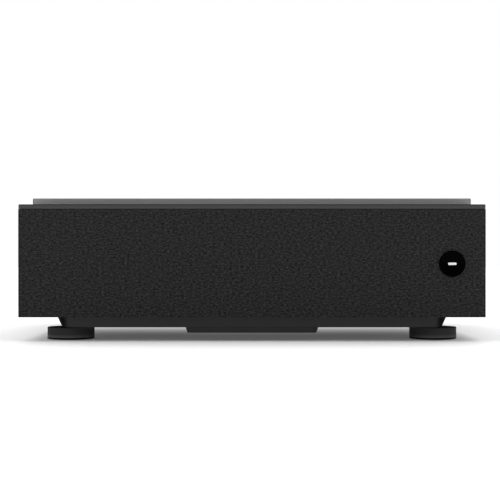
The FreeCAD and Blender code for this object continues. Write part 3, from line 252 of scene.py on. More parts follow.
def moulded_grain(name):
    """Fine moulded texture: a height, a mottled colour and an uneven roughness."""
    tree, given, out = new_group(name, [
        ("Colour", "NodeSocketColor", (0.05, 0.05, 0.05, 1)), ("Mottle", "NodeSocketFloat", 0.12),
        ("Grain", "NodeSocketFloat", 1200.0), ("Roughness", "NodeSocketFloat", 0.5),
        ("Unevenness", "NodeSocketFloat", 0.08)],
        [("Colour", "NodeSocketColor"), ("Roughness", "NodeSocketFloat"), ("Height", "NodeSocketFloat")])
    link = tree.links.new
    place = add(tree, "ShaderNodeTexCoord").outputs["Object"]
    fine = add(tree, "ShaderNodeTexNoise", Detail=2.0, Roughness=0.6)
    broad = add(tree, "ShaderNodeTexNoise", Scale=22.0, Detail=4.0, Roughness=0.65)
    link(place, fine.inputs["Vector"])
    link(place, broad.inputs["Vector"])
    link(given["Grain"], fine.inputs["Scale"])
    swing = sum_up(tree, "SUBTRACT", broad.outputs[0], 0.5)
    speck = sum_up(tree, "SUBTRACT", fine.outputs[0], 0.5)
    both = sum_up(tree, "ADD", swing, speck)
    gain = sum_up(tree, "ADD", sum_up(tree, "MULTIPLY", both, given["Mottle"]), 1.0)
    tone = add(tree, "ShaderNodeVectorMath", operation="SCALE")
    link(given["Colour"], tone.inputs[0])
    link(gain, tone.inputs["Scale"])
    link(tone.outputs[0], out["Colour"])
    rough = sum_up(tree, "ADD", given["Roughness"], sum_up(tree, "MULTIPLY", both, given["Unevenness"]))
    link(rough, out["Roughness"])
    link(fine.outputs[0], out["Height"])
    return tree


def heather_weave(name):
    """Plain weave of mottled threads on the piece's own UV map, which is in metres along the cloth.

    The cloth is darkened beyond Turn, its distance from the middle, as painted shade where it turns round
    the body's corners.
    """
    tree, given, out = new_group(name, [
        ("Dark", "NodeSocketColor", (0.02, 0.02, 0.02, 1)),
        ("Light", "NodeSocketColor", (0.06, 0.06, 0.06, 1)),
        ("Pitch", "NodeSocketFloat", 0.001), ("Turn", "NodeSocketFloat", 0.25)],
        [("Colour", "NodeSocketColor"), ("Roughness", "NodeSocketFloat"), ("Height", "NodeSocketFloat")])
    link = tree.links.new
    place = add(tree, "ShaderNodeUVMap", uv_map="cloth").outputs[0]
    turns = add(tree, "ShaderNodeVectorMath", operation="SCALE")
    link(place, turns.inputs[0])
    link(sum_up(tree, "DIVIDE", math.pi, given["Pitch"]), turns.inputs["Scale"])
    split = add(tree, "ShaderNodeSeparateXYZ")
    link(turns.outputs[0], split.inputs[0])
    across = sum_up(tree, "SINE", split.outputs[0], 0.0)
    along = sum_up(tree, "SINE", split.outputs[1], 0.0)
    warp = sum_up(tree, "ABSOLUTE", across, 0.0)
    weft = sum_up(tree, "ABSOLUTE", along, 0.0)
    over = sum_up(tree, "GREATER_THAN", sum_up(tree, "MULTIPLY", across, along), 0.0)
    under = sum_up(tree, "SUBTRACT", 1.0, over)
    height = sum_up(tree, "ADD", sum_up(tree, "MULTIPLY", over, warp), sum_up(tree, "MULTIPLY", under, weft))
    link(height, out["Height"])
    mottles = []
    for stretch, scale in (((1.0, 2.1, 1.0), 330.0), ((2.0, 1.0, 1.0), 420.0)):
        drawn = add(tree, "ShaderNodeMapping")
        drawn.inputs["Scale"].default_value = stretch
        link(place, drawn.inputs["Vector"])
        noise = add(tree, "ShaderNodeTexNoise", Scale=scale, Detail=3.0, Roughness=0.75)
        link(drawn.outputs[0], noise.inputs["Vector"])
        mottles.append(noise.outputs[0])
    mixed = sum_up(tree, "ADD", sum_up(tree, "MULTIPLY", mottles[0], 0.65),
                   sum_up(tree, "MULTIPLY", mottles[1], 0.35))
    sharp = add(tree, "ShaderNodeMapRange")
    link(mixed, sharp.inputs["Value"])
    sharp.inputs["From Min"].default_value = 0.42
    sharp.inputs["From Max"].default_value = 0.64
    # painted shade: the threads darken where the weave dips
    relief = sum_up(tree, "ADD", sum_up(tree, "MULTIPLY", height, 0.6), 0.4)
    shade = sum_up(tree, "MULTIPLY", sharp.outputs[0], relief)
    run = add(tree, "ShaderNodeSeparateXYZ")
    link(place, run.inputs[0])
    flat = sum_up(tree, "LESS_THAN", sum_up(tree, "ABSOLUTE", run.outputs[0], 0.0), given["Turn"])
    shade = sum_up(tree, "MULTIPLY", shade, sum_up(tree, "ADD", sum_up(tree, "MULTIPLY", flat, 0.85), 0.15))
    link(mix_colour(tree, shade, given["Dark"], given["Light"]), out["Colour"])
    link(sum_up(tree, "SUBTRACT", 0.95, sum_up(tree, "MULTIPLY", height, 0.12)), out["Roughness"])
    return tree


def tone_and_shade_band(name):
    """Colour gives way to Beyond from Start to Finish along Way, alike on both sides of the middle."""
    tree, given, out = new_group(name, [
        ("Colour", "NodeSocketColor", (0.05, 0.05, 0.05, 1)),
        ("Beyond", "NodeSocketColor", (0.02, 0.02, 0.02, 1)),
        ("Way", "NodeSocketVector", (0.0, 0.0, 1.0)), ("Start", "NodeSocketFloat", 0.0),
        ("Finish", "NodeSocketFloat", 0.001)], [("Colour", "NodeSocketColor")])
    link = tree.links.new
    along = add(tree, "ShaderNodeVectorMath", operation="DOT_PRODUCT")
    link(add(tree, "ShaderNodeTexCoord").outputs["Object"], along.inputs[0])
    link(given["Way"], along.inputs[1])
    rise = add(tree, "ShaderNodeMapRange", interpolation_type="SMOOTHSTEP")
    link(sum_up(tree, "ABSOLUTE", along.outputs["Value"], 0.0), rise.inputs["Value"])
    link(given["Start"], rise.inputs["From Min"])
    link(given["Finish"], rise.inputs["From Max"])
    link(mix_colour(tree, rise.outputs[0], given["Colour"], given["Beyond"]), out["Colour"])
    return tree


def painted_floor_light(name):
    """Even light through a floor, with a brighter soft-edged patch of painted light from Start to Finish
    along Y.
    """
    tree, given, out = new_group(name, [
        ("Even", "NodeSocketFloat", 0.1), ("Painted Light", "NodeSocketFloat", 0.4),
        ("Half Width", "NodeSocketFloat", 0.2), ("Start", "NodeSocketFloat", 0.0),
        ("Finish", "NodeSocketFloat", 0.1)], [("Colour", "NodeSocketColor")])
    link = tree.links.new
    split = add(tree, "ShaderNodeSeparateXYZ")
    link(add(tree, "ShaderNodeTexCoord").outputs["Object"], split.inputs[0])
    from_middle = sum_up(tree, "ABSOLUTE", split.outputs["X"], 0.0)
    across = add(tree, "ShaderNodeMapRange", interpolation_type="SMOOTHSTEP")
    link(from_middle, across.inputs["Value"])
    link(given["Half Width"], across.inputs["From Min"])
    link(sum_up(tree, "SUBTRACT", given["Half Width"], PAINTED_LIGHT_FADE_X), across.inputs["From Max"])
    rise = add(tree, "ShaderNodeMapRange")
    link(split.outputs["Y"], rise.inputs["Value"])
    link(given["Start"], rise.inputs["From Min"])
    link(given["Finish"], rise.inputs["From Max"])
    curve = sum_up(tree, "POWER", rise.outputs[0], 2.0)
    end = add(tree, "ShaderNodeMapRange", interpolation_type="SMOOTHSTEP")
    link(split.outputs["Y"], end.inputs["Value"])
    link(sum_up(tree, "ADD", given["Finish"], PAINTED_LIGHT_FADE_Y), end.inputs["From Min"])
    link(given["Finish"], end.inputs["From Max"])
    patch = sum_up(tree, "MULTIPLY", sum_up(tree, "MULTIPLY", across.outputs[0], curve), end.outputs[0])
    level = sum_up(tree, "ADD", sum_up(tree, "MULTIPLY", patch, given["Painted Light"]), given["Even"])
    grey = add(tree, "ShaderNodeCombineColor")
    for socket in grey.inputs:
        if socket.type == "VALUE":
            link(level, socket)
    link(grey.outputs[0], out["Colour"])
    return tree


def drawn_metal(name):
    """Fine lines left by grinding or drawing, along X, Y or Z by the stretch given."""
    tree, given, out = new_group(name, [
        ("Colour", "NodeSocketColor", (0.5, 0.5, 0.5, 1)), ("Stretch", "NodeSocketVector", (1.0, 1.0, 1.0)),
        ("Roughness", "NodeSocketFloat", 0.3)],
        [("Colour", "NodeSocketColor"), ("Roughness", "NodeSocketFloat"), ("Height", "NodeSocketFloat")])
    link = tree.links.new
    place = add(tree, "ShaderNodeTexCoord").outputs["Object"]
    drawn = add(tree, "ShaderNodeVectorMath", operation="MULTIPLY")
    link(place, drawn.inputs[0])
    link(given["Stretch"], drawn.inputs[1])
    lines = add(tree, "ShaderNodeTexNoise", Scale=900.0, Detail=3.0, Roughness=0.7)
    link(drawn.outputs[0], lines.inputs["Vector"])
    swing = sum_up(tree, "SUBTRACT", lines.outputs[0], 0.5)
    tone = add(tree, "ShaderNodeVectorMath", operation="SCALE")
    link(given["Colour"], tone.inputs[0])
    link(sum_up(tree, "ADD", sum_up(tree, "MULTIPLY", swing, 0.3), 1.0), tone.inputs["Scale"])
    link(tone.outputs[0], out["Colour"])
    link(sum_up(tree, "ADD", given["Roughness"], sum_up(tree, "MULTIPLY", swing, 0.25)), out["Roughness"])
    link(lines.outputs[0], out["Height"])
    return tree


# ---------------------------------------------------------------- materials
FINISHES = {}


def finish(name, builder, group_values, relief, relief_depth, **shader_values):
    """A material: one pattern group feeds colour, roughness and bump of a Principled BSDF."""
    if name in FINISHES:
        return FINISHES[name]
    material = FINISHES[name] = bpy.data.materials.new(name)
    material.use_nodes = True
    tree = material.node_tree
    shader = tree.nodes["Principled BSDF"]
    for key, value in shader_values.items():
        shader.inputs[key.replace("_", " ")].default_value = value
    pattern = tree.nodes.new("ShaderNodeGroup")
    pattern.node_tree = once(builder.__name__, builder)
    for key, value in group_values.items():
        pattern.inputs[key].default_value = value
    tree.links.new(pattern.outputs["Colour"], shader.inputs["Base Color"])
    tree.links.new(pattern.outputs["Roughness"], shader.inputs["Roughness"])
    bump = add(tree, "ShaderNodeBump", Strength=relief, Distance=relief_depth)
    tree.links.new(pattern.outputs["Height"], bump.inputs["Height"])
    tree.links.new(bump.outputs[0], shader.inputs["Normal"])
    return material


def banded(material, *bands):
    """Splits a moulded finish's colour by bands, of real colour and of painted shade and highlights: each is
    a colour, its way, its start and its finish.
    """
    tree = material.node_tree
    pattern = [n for n in tree.nodes if n.type == "GROUP"][0]
    before = pattern.inputs["Colour"].default_value[:]
    last = None
    for beyond, way, start, finish_at in bands:
        band = tree.nodes.new("ShaderNodeGroup")
        band.node_tree = once("tone_and_shade_band", tone_and_shade_band)
        band.inputs["Colour"].default_value = before
        if last:
            tree.links.new(last.outputs["Colour"], band.inputs["Colour"])
        band.inputs["Beyond"].default_value = rgba(beyond)
        band.inputs["Way"].default_value = way
        band.inputs["Start"].default_value = start
        band.inputs["Finish"].default_value = finish_at
        last = band
    tree.links.new(last.outputs["Colour"], pattern.inputs["Colour"])
    return material


def rgba(colour):
    return (*colour[:3], 1.0)


def moulded(name, colour, roughness=0.5, grain=1400.0, mottle=0.12, relief=0.25, **shader_values):
    values = {"Colour": rgba(colour), "Roughness": roughness, "Grain": grain, "Mottle": mottle}
    return finish(name, moulded_grain, values, relief, 0.05 * MM, **shader_values)


def metal(name, colour, roughness=0.3, stretch=(1.0, 1.0, 1.0), **shader_values):
    values = {"Colour": rgba(colour), "Roughness": roughness, "Stretch": stretch}
    return finish(name, drawn_metal, values, 0.15, 0.03 * MM, Metallic=1.0, **shader_values)


def cloth_finish():
    sizes, colours, _ = settings()
    tint = Vector(colours.cloth)
    # beyond Turn the cloth is darkened as painted shade
    values = {"Dark": rgba(tint * DARK_THREAD), "Light": rgba(tint * LIGHT_THREAD),
              "Pitch": sizes.thread, "Turn": high("front_fabric").x - CLOTH_SHADED_EDGE}
    return finish("speaker_cloth", heather_weave, values, 0.8, 0.25 * MM,
                  Sheen_Weight=0.02, Sheen_Roughness=0.6, Specular_IOR_Level=0.1)


def glass(name, tint, roughness=0.02):
    material = moulded(name, tint, roughness, grain=60.0, mottle=0.02, relief=0.01, IOR=1.5, Coat_Weight=0.4)
    material.node_tree.nodes["Principled BSDF"].inputs["Transmission Weight"].default_value = 1.0
    return material


def dress(material, *names):
    """Gives CAD nodes their material."""
    for name in names:
        mesh = NODES[name].data
        mesh.materials.clear()
        mesh.materials.append(material)


# ---------------------------------------------------------------- pieces
def piece(name, shape, material, body="body"):
    """Turns a bmesh into a smooth piece that rides on a body."""
    mesh = bpy.data.meshes.new(name)
    shape.to_mesh(mesh)
    shape.free()
    mesh.polygons.foreach_set("use_smooth", [True] * len(mesh.polygons))
    mesh.set_sharp_from_angle(angle=math.radians(35.0))
    mesh.materials.append(material)
    obj = bpy.data.objects.new(name, mesh)
    bpy.context.scene.collection.objects.link(obj)
    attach(obj, body)
    return obj


def tidy(shape):
    bmesh.ops.remove_doubles(shape, verts=shape.verts, dist=0.001 * MM)
    bmesh.ops.recalc_face_normals(shape, faces=shape.faces)
    return shape


def brick(corner, far):
    """Box between two corners."""
    shape = bmesh.new()
    place = Matrix.Translation((corner + far) / 2) @ Matrix.Diagonal((*(far - corner), 1.0))
    bmesh.ops.create_cube(shape, size=1.0, matrix=place)
    return shape


def edges_along(shape, axis):
    """Edges that run along one axis."""
    chosen = []
    for edge in shape.edges:
        way = edge.verts[1].co - edge.verts[0].co
        if way.length > 0 and abs(way.normalized()[axis]) > 0.999:
            chosen.append(edge)
    return chosen


def edges_at(shape, axis, level):
    """Edges that lie at one level of an axis."""
    return [e for e in shape.edges if all(abs(v.co[axis] - level) < 0.01 * MM for v in e.verts)]


def bevel(shape, edges, width, segments):
    bmesh.ops.bevel(shape, geom=edges, offset=width, segments=segments, profile=0.5, affect="EDGES",
                    material=-1, clamp_overlap=True)


def soft_slab(corner, far, corner_r, edge_r):
    """Box with rounded upright corners and a rounded upper edge."""
    shape = brick(corner, far)
    bevel(shape, edges_along(shape, 2), corner_r, 8)
    bevel(shape, edges_at(shape, 2, far.z), edge_r, 4)
    return tidy(shape)


def quarter(radius, across, along, steps, first=0.0):
    """Points of a quarter circle round (across, along), from the angle first on, in degrees."""
    angles = [math.radians(first + 90.0 * step / steps) for step in range(steps + 1)]
    return [(across + radius * math.cos(a), along + radius * math.sin(a)) for a in angles]


def turned(profile, place, steps=96):
    """Solid of revolution: (radius, along) points spun about Z, then put in place by a matrix."""
    shape = bmesh.new()
    verts = [shape.verts.new((r, 0.0, h)) for r, h in profile]
    edges = [shape.edges.new(pair) for pair in zip(verts, verts[1:])]
    bmesh.ops.spin(shape, geom=verts + edges, cent=(0, 0, 0), axis=(0, 0, 1), angle=2 * math.pi,
                   steps=steps, use_merge=True, use_duplicate=False)
    tidy(shape)
    bmesh.ops.transform(shape, matrix=place, verts=shape.verts)
    return shape


def middle(node):
    return (low(node) + high(node)) / 2


class Builder:
    """What every operator of this add-on shares."""
    bl_options = {"REGISTER", "UNDO"}


# ---------------------------------------------------------------- cloth front
class PROJECTOR_OT_cloth(Builder, bpy.types.Operator):
    """Stretch the speaker cloth over the front frame and round its corners"""
    bl_idname = "projector.cloth"
    bl_label = "Speaker cloth"

    def execute(self, context):
        sizes, _, _ = settings()
        start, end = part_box("front_fabric")
        rear = start.y + sizes.cloth_return
        radius = sizes.cloth_corner
        shape = bmesh.new()
        made = bmesh.ops.create_grid(shape, x_segments=1, y_segments=1, size=0.5)
        # The cloth's section, turned in at its hems, stands at the left rear end of the wrap.
        place = Matrix.Translation((start.x + CLOTH_T / 2, rear, (start.z + end.z) / 2))
        place = place @ Matrix.Diagonal((CLOTH_T, 1.0, end.z - start.z, 1.0))
        place = place @ Matrix.Rotation(math.pi / 2, 4, "X")
        bmesh.ops.transform(shape, matrix=place, verts=made["verts"])
        bmesh.ops.bevel(shape, geom=list(shape.verts), offset=CLOTH_T * HEM_ROUND, segments=4, profile=0.5,
                        affect="VERTICES", material=-1)
        bmesh.ops.delete(shape, geom=list(shape.faces), context="FACES_ONLY")
        ring = list(shape.edges)

        def moved(geometry):
            return [g for g in geometry if isinstance(g, bmesh.types.BMEdge)]

        def straight(edges, way):
            made = bmesh.ops.extrude_edge_only(shape, edges=edges)["geom"]
            verts = [g for g in made if isinstance(g, bmesh.types.BMVert)]
            bmesh.ops.translate(shape, vec=way, verts=verts)
            return moved(made)

        def corner(edges, centre):
            verts = list({v for e in edges for v in e.verts})
            made = bmesh.ops.spin(shape, geom=verts + edges, cent=centre, axis=(0, 0, 1), angle=math.pi / 2,
                                  steps=10, use_merge=False, use_duplicate=False)
            return moved(made["geom_last"])

        tail = straight(ring, Vector((0, start.y + radius - rear, 0)))
        tail = corner(tail, (start.x + radius, start.y + radius, 0))
        span = (end.x - start.x - 2 * radius) / CLOTH_STEPS
        for _ in range(CLOTH_STEPS):
            tail = straight(tail, Vector((span, 0, 0)))
        tail = corner(tail, (end.x - radius, start.y + radius, 0))
        tail = straight(tail, Vector((0, rear - start.y - radius, 0)))
        for open_end in (ring, tail):
            bmesh.ops.contextual_create(shape, geom=[e for e in open_end if e.is_valid])
        tidy(shape)
        uv = shape.loops.layers.uv.new("cloth")
        for face in shape.faces:
            for loop in face.loops:
                x, y, z = loop.vert.co
                back = max(0.0, y - start.y - radius)
                loop[uv].uv = (x + math.copysign(back, x), z)
        cloth = piece("cloth_front", shape, cloth_finish())
        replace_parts(cloth, "front_fabric")
        return {"FINISHED"}


# ---------------------------------------------------------------- badge
class PROJECTOR_OT_badge(Builder, bpy.types.Operator):
    """Build the glossy disc and its plain painted bar"""
    bl_idname = "projector.badge"
    bl_label = "Badge"

    def execute(self, context):
        start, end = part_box("badge_disc")
        centre = middle("badge_disc")
        radius = (end.x - start.x) / 2
        side = radius - 0.02 * MM
        front, back = centre.y - start.y, centre.y - end.y
        profile = [(0.0, back), (side, back), (side, front - BADGE_RIM * 1.6)]
        profile += quarter(BADGE_RIM, radius - BADGE_RIM, front - BADGE_RIM, 4)
        dish = radius - BADGE_DISH_FROM
        profile += [(dish, front), (dish - 0.3 * MM, front - BADGE_DISH), (0.0, front - BADGE_DISH)]
        shape = turned(profile, Matrix.Translation(centre) @ Matrix.Rotation(math.pi / 2, 4, "X"))
        gloss = moulded("badge_gloss", (0.0008, 0.0008, 0.0009), 0.04, grain=90.0, mottle=0.05, relief=0.0,
                        Specular_IOR_Level=0.01)
        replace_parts(piece("badge_face", shape, gloss), "badge_disc")
        start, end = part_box("badge_emblem")
        shape = brick(start, end + Vector((0, 0.15 * MM, 0)))
        bevel(shape, edges_along(shape, 1), (end.z - start.z) * 0.45, 6)
        bevel(shape, edges_at(shape, 1, start.y), BAR_EDGE, 2)
        silver = moulded("bar_paint", (0.85, 0.85, 0.86), 0.4, grain=3000.0, mottle=0.1, relief=0.1)
        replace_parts(piece("badge_bar", tidy(shape), silver), "badge_emblem")
        return {"FINISHED"}


# ---------------------------------------------------------------- roof
class PROJECTOR_OT_roof(Builder, bpy.types.Operator):
    """Build the sliding roof's cover, and finish its felt strip and the parts below it"""
    bl_idname = "projector.roof"
    bl_label = "Sliding roof"

    def execute(self, context):
        sizes, colours, _ = settings()
        start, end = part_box("roof_cover")
        shape = soft_slab(start, end, sizes.roof_corner, sizes.roof_edge)
        under = [f for f in shape.faces if f.normal.z < -0.9]
        bmesh.ops.inset_region(shape, faces=under, thickness=ROOF_SKIN, use_even_offset=True)
        bmesh.ops.translate(shape, vec=(0, 0, end.z - start.z - ROOF_SKIN),
                            verts=list({v for f in under for v in f.verts}))
        paint = moulded("roof_paint", colours.roof, 0.42, grain=2200.0, mottle=0.05, relief=0.12,
                        Coat_Weight=0.08, Coat_Roughness=0.35)
        # painted shadow: the roof turns near-black below the height that the deck's front edge hides, for
        # the gap shadow under the roof
        seen = high("top_deck").z + SEEN_UNDER_ROOF
        # painted shade: a thin near-black line at both side ends of the roof
        side = end.x - ROOF_SIDE_SHADE_LINE
        banded(paint, (ROOF_PAINTED_SHADE, UP, seen + 0.7 * MM, seen + 0.5 * MM),
               (ROOF_PAINTED_SHADE, ACROSS, side, side + 0.1 * MM))
        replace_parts(piece("roof_shell", shape, paint, body="roof"), "roof_cover")
        felt = moulded("liner_felt", (0.010, 0.010, 0.011), 0.85, grain=900.0, mottle=0.5, relief=0.5)
        dress(felt, "roof_liner")
        dress(moulded("acetal", (0.55, 0.55, 0.52), 0.4), "roof_carriages", "roof_racks", "drive_gears")
        dress(metal("ground_steel", (0.55, 0.56, 0.57), 0.22, (1.0, 0.04, 1.0)), "guide_rods", "drive_shaft")
        dress(metal("turned_brass", (0.70, 0.50, 0.22), 0.25, (1.0, 1.0, 0.2)),
              "motor_pinion", "foot_inserts", "focus_pinion")
        dress(metal("motor_can", (0.42, 0.43, 0.44), 0.35, (0.06, 1.0, 1.0)), "roof_motor", "focus_motor")
        return {"FINISHED"}


# ---------------------------------------------------------------- covers
class PROJECTOR_OT_covers(Builder, bpy.types.Operator):
    """Finish the deck, the side and rear covers, and the dark plastic parts behind them"""
    bl_idname = "projector.covers"
    bl_label = "Covers"

    def execute(self, context):
        sizes, colours, _ = settings()
        rim = moulded("deck_plastic", colours.rim, 0.5, grain=1800.0, mottle=0.08, relief=0.2,
                      Specular_IOR_Level=0.06)
        top = high("top_deck").z
        # painted shade: a near-black line along the deck's upper edge, below the deck's own dark top
        line = top - sizes.deck_edge
        banded(rim, (PAINTED_SHADE_LINE, UP, line, line + 0.05 * MM),
               (colours.deck, UP, top - 0.03 * MM, top - 0.01 * MM))
        dress(rim, "top_deck")
        shell = moulded("shell_plastic", colours.shell, 0.55, grain=1300.0, mottle=0.12, relief=0.35,
                        Specular_IOR_Level=0.25)
        dress(shell, "side_cover_left", "side_cover_right", "rear_cover")
        inner = moulded("inner_plastic", (0.014, 0.014, 0.015), 0.6, grain=900.0)
        dress(inner, "front_frame", "roof_brackets", "button_switch", "fan_frames", "speakers", "lens_well")
        dress(moulded("button_gloss", (0.02, 0.02, 0.021), 0.2, grain=200.0, relief=0.05), "power_button")
        return {"FINISHED"}


# ---------------------------------------------------------------- base and feet
class PROJECTOR_OT_base(Builder, bpy.types.Operator):
    """Finish the tray, plinth, hatch, screws and pads, and build the four feet"""
    bl_idname = "projector.base"
    bl_label = "Base and feet"

    def execute(self, context):
        _, colours, _ = settings()
        base = moulded("base_plastic", colours.base, 0.55, grain=1200.0, mottle=0.12, relief=0.3,
                       Specular_IOR_Level=0.12)
        dress(base, "base_tray")
        tint = Vector(colours.base)
        skirt = moulded("plinth_plastic", tint * 1.2, 0.55, grain=1200.0, mottle=0.12, relief=0.3,
                        Specular_IOR_Level=0.04)
        # painted shade: the plinth darkens towards both ends
        half = high("plinth").x
        banded(skirt, (PLINTH_END_PAINTED_SHADE, ACROSS, *(half - inset for inset in PLINTH_SHADED_ENDS)))
        dress(skirt, "plinth")
        dress(moulded("hatch_plastic", tint * 0.88, 0.55, grain=900.0, mottle=0.1, relief=0.3,
                      Specular_IOR_Level=0.12), "bottom_cover")
        dress(metal("screw_steel", (0.10, 0.10, 0.105), 0.4), "tray_screws")
        rubber = moulded("foot_rubber", (0.012, 0.012, 0.012), 0.8, grain=700.0, mottle=0.2, relief=0.4)
        foot_plastic = moulded("foot_plastic", tint * 1.6, 0.5, grain=1500.0, mottle=0.08, relief=0.2,
                               Specular_IOR_Level=0.02)
        # painted highlight: each foot lightens towards its lower edge
        # painted shadow: a near-black ring at each foot's lower edge
        banded(foot_plastic, (tint * 3.4, UP, *FOOT_PAINTED_GLINT), (PAINTED_SHADE_LINE, UP, *FOOT_PAINTED_SHADOW_RING))
        for node in sorted(n for n in NODES if n.startswith("foot_") and n != "foot_inserts"):
            self.foot(node, foot_plastic)
            dress(rubber, node.replace("foot_", "pad_"))
        return {"FINISHED"}

    def foot(self, node, material):
        """A disc with a recess for its pad below and a threaded stud above."""
        sizes, _, _ = settings()
        start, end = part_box(node)
        pad_low, pad_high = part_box(node.replace("foot_", "pad_"))
        centre = Vector(((start.x + end.x) / 2, (start.y + end.y) / 2, 0.0))
        radius = (end.x - start.x) / 2
        top = low("plinth").z - FOOT_GAP
        edge = sizes.foot_edge
        recess = (pad_high.x - pad_low.x) / 2 + PAD_CLEAR
        ceiling = pad_high.z + 0.05 * MM
        profile = [(0.0, ceiling), (recess, ceiling), (recess, start.z)]
        profile += quarter(edge, radius - edge, start.z + edge, 6, first=-90.0)
        profile += quarter(FOOT_TOP_R, radius - FOOT_TOP_R, top - FOOT_TOP_R, 3)
        profile.append((STUD_R, top))
        for turn in range(int((end.z - top - STUD_PITCH) / STUD_PITCH)):
            z = top + STUD_NECK + turn * STUD_PITCH
            profile += [(STUD_R - THREAD_DEPTH, z), (STUD_R, z + STUD_PITCH / 2)]
        profile += [(STUD_R - THREAD_DEPTH, end.z), (0.0, end.z)]
        shape = turned(profile, Matrix.Translation(centre), steps=128)
        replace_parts(piece(node + "_disc", shape, material, body=node), node)


# ---------------------------------------------------------------- optics and light source
class PROJECTOR_OT_optics(Builder, bpy.types.Operator):
    """Finish the window, mirror, lenses and light source"""
    bl_idname = "projector.optics"
    bl_label = "Optics"

    def execute(self, context):
        dress(glass("window_glass", (0.80, 0.84, 0.86)), "lens_window")
        dress(glass("lens_glass", (0.62, 0.66, 0.80)), "front_lens", "focus_cell")
        dress(metal("silvered", (0.85, 0.87, 0.88), 0.03), "concave_mirror")
        cast = metal("cast_metal", (0.20, 0.205, 0.21), 0.5)
        dress(cast, "mirror_mount", "lens_barrel", "fold_housing", "light_engine", "wheel_housing",
              "laser_module")
        dress(moulded("gear_nylon", (0.03, 0.03, 0.032), 0.45), "focus_ring")
        dress(metal("bare_fins", (0.55, 0.56, 0.58), 0.3, (1.0, 1.0, 0.1)), "laser_cooler")
        dress(metal("wheel_disc", (0.60, 0.60, 0.50), 0.2), "phosphor_wheel", "colour_wheel")
        return {"FINISHED"}


# ---------------------------------------------------------------- electronics and air
class PROJECTOR_OT_electronics(Builder, bpy.types.Operator):
    """Finish the boards, sockets and fan rotors"""
    bl_idname = "projector.electronics"
    bl_label = "Electronics and fans"

    def execute(self, context):
        dress(moulded("circuit_board", (0.008, 0.07, 0.035), 0.35, grain=400.0, mottle=0.6),
              "chip_board", "supply_board", "main_board")
        dress(metal("socket_shell", (0.60, 0.60, 0.58), 0.28, (1.0, 0.1, 1.0)), "sockets")
        dress(moulded("inlet_plastic", (0.012, 0.012, 0.012), 0.45), "mains_inlet")
        dress(moulded("fan_plastic", (0.018, 0.018, 0.019), 0.4, grain=600.0),
              *sorted(n for n in NODES if n.startswith("fan_rotor")))
        return {"FINISHED"}


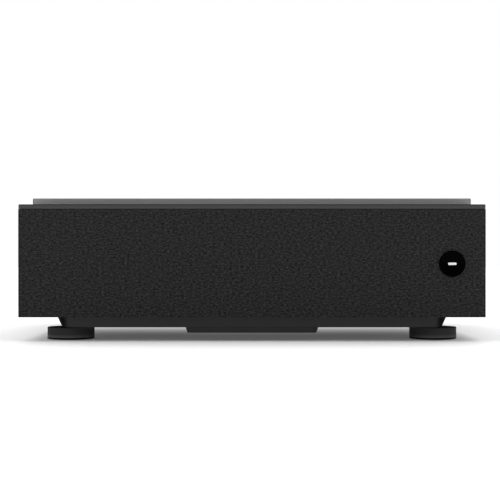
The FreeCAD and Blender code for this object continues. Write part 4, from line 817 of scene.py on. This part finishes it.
# ---------------------------------------------------------------- stage
class PROJECTOR_OT_stage(Builder, bpy.types.Operator):
    """Set the floor, surround, lights and level camera"""
    bl_idname = "projector.stage"
    bl_label = "Stage"

    def execute(self, context):
        scene = context.scene
        _, _, stage = settings()
        scene.view_settings.view_transform = "Standard"
        scene.view_settings.look = "None"
        self.floor(stage.floor_glow, stage.painted_floor_light)
        self.surround(scene, stage)
        self.area("left_light", LEFT_LIGHT, stage.key)
        self.area("right_light", RIGHT_LIGHT, stage.key * RIGHT_SHARE)
        camera = bpy.data.cameras.new("camera")
        camera.lens = stage.lens
        camera.sensor_width = 36.0
        seat = bpy.data.objects.new("camera", camera)
        seat.location = (CAMERA_X, low("top_deck").y - stage.distance, stage.height)
        seat.rotation_euler = (math.pi / 2, 0.0, 0.0)
        scene.collection.objects.link(seat)
        scene.camera = seat
        return {"FINISHED"}

    def floor(self, glow, lamp_and_painted_light):
        shape = bmesh.new()
        bmesh.ops.create_grid(shape, x_segments=1, y_segments=1, size=FLOOR_HALF)
        mesh = bpy.data.meshes.new("floor")
        shape.to_mesh(mesh)
        shape.free()
        paper = bpy.data.materials.new("floor_paper")
        paper.use_nodes = True
        shader = paper.node_tree.nodes["Principled BSDF"]
        shader.inputs["Base Color"].default_value = (0.86, 0.86, 0.86, 1.0)
        shader.inputs["Roughness"].default_value = 0.9
        shader.inputs["Specular IOR Level"].default_value = 0.1
        # the floor glows evenly, and more in a patch of painted light below the body
        glow_map = paper.node_tree.nodes.new("ShaderNodeGroup")
        glow_map.node_tree = once("painted_floor_light", painted_floor_light)
        for name, value in (("Even", glow), ("Painted Light", lamp_and_painted_light), ("Half Width", high("plinth").x + PAINTED_LIGHT_MARGIN),
                            ("Start", PAINTED_LIGHT_START), ("Finish", PAINTED_LIGHT_FINISH)):
            glow_map.inputs[name].default_value = value
        paper.node_tree.links.new(glow_map.outputs["Colour"], shader.inputs["Emission Color"])
        shader.inputs["Emission Strength"].default_value = 1.0
        mesh.materials.append(paper)
        floor = bpy.data.objects.new("floor", mesh)
        bpy.context.scene.collection.objects.link(floor)

    def surround(self, scene, stage):
        """Soft light from overhead between dark walls, before a plain white backdrop."""
        world = bpy.data.worlds.new("surround")
        world.use_nodes = True
        tree = world.node_tree
        link = tree.links.new
        split = add(tree, "ShaderNodeSeparateXYZ")
        link(add(tree, "ShaderNodeTexCoord").outputs["Generated"], split.inputs[0])
        rise = add(tree, "ShaderNodeMapRange", interpolation_type="SMOOTHSTEP")
        link(split.outputs["Z"], rise.inputs["Value"])
        for name, value in zip(("From Min", "From Max", "To Min", "To Max"),
                               (*SURROUND_RISE, stage.walls, stage.ceiling)):
            rise.inputs[name].default_value = value
        tilt = sum_up(tree, "ADD", sum_up(tree, "MULTIPLY", split.outputs["Y"], stage.back), 1.0)
        seen = add(tree, "ShaderNodeLightPath").outputs["Is Camera Ray"]
        unseen = sum_up(tree, "SUBTRACT", 1.0, seen)
        lit = sum_up(tree, "MULTIPLY", sum_up(tree, "MULTIPLY", rise.outputs[0], tilt), unseen)
        plain = sum_up(tree, "MULTIPLY", seen, stage.backdrop)
        background = tree.nodes["Background"]
        background.inputs["Color"].default_value = (1.0, 1.0, 1.0, 1.0)
        link(sum_up(tree, "ADD", lit, plain), background.inputs["Strength"])
        scene.world = world

    def area(self, name, place, power):
        light = bpy.data.lights.new(name, "AREA")
        light.size = LIGHT_SIZE
        light.energy = power
        lamp_and_painted_light = bpy.data.objects.new(name, light)
        lamp_and_painted_light.location = place
        lamp_and_painted_light.rotation_euler = (Vector(AIM) - Vector(place)).to_track_quat("-Z", "Y").to_euler()
        bpy.context.scene.collection.objects.link(lamp_and_painted_light)


class PROJECTOR_PT_panel(bpy.types.Panel):
    """Sidebar panel that lists the projector's sizes, colours and builders"""
    bl_label = "Home Projector"
    bl_idname = "PROJECTOR_PT_panel"
    bl_space_type = "VIEW_3D"
    bl_region_type = "UI"
    bl_category = "Projector"

    def draw(self, context):
        for group in settings():
            box = self.layout.box()
            for name in group.bl_rna.properties.keys():
                if name not in ("rna_type", "name"):
                    box.prop(group, name)
        for builder in BUILDERS:
            self.layout.operator(builder.bl_idname)


GROUPS = {"projector_sizes": ProjectorSizes, "projector_colours": ProjectorColours,
          "projector_stage": ProjectorStage}
BUILDERS = (PROJECTOR_OT_stage, PROJECTOR_OT_cloth, PROJECTOR_OT_badge, PROJECTOR_OT_roof,
            PROJECTOR_OT_covers, PROJECTOR_OT_base, PROJECTOR_OT_optics, PROJECTOR_OT_electronics)


def register():
    for group in GROUPS.values():
        bpy.utils.register_class(group)
    for name, group in GROUPS.items():
        setattr(bpy.types.Scene, name, bpy.props.PointerProperty(type=group))
    for builder in BUILDERS + (PROJECTOR_PT_panel,):
        bpy.utils.register_class(builder)


def unregister():
    for builder in (PROJECTOR_PT_panel,) + BUILDERS[::-1]:
        bpy.utils.unregister_class(builder)
    for name, group in GROUPS.items():
        delattr(bpy.types.Scene, name)
        bpy.utils.unregister_class(group)


def main():
    register()
    bpy.ops.projector.stage()
    bpy.ops.projector.cloth()
    bpy.ops.projector.badge()
    bpy.ops.projector.roof()
    bpy.ops.projector.covers()
    bpy.ops.projector.base()
    bpy.ops.projector.optics()
    bpy.ops.projector.electronics()


if __name__ == "__main__":
    main()
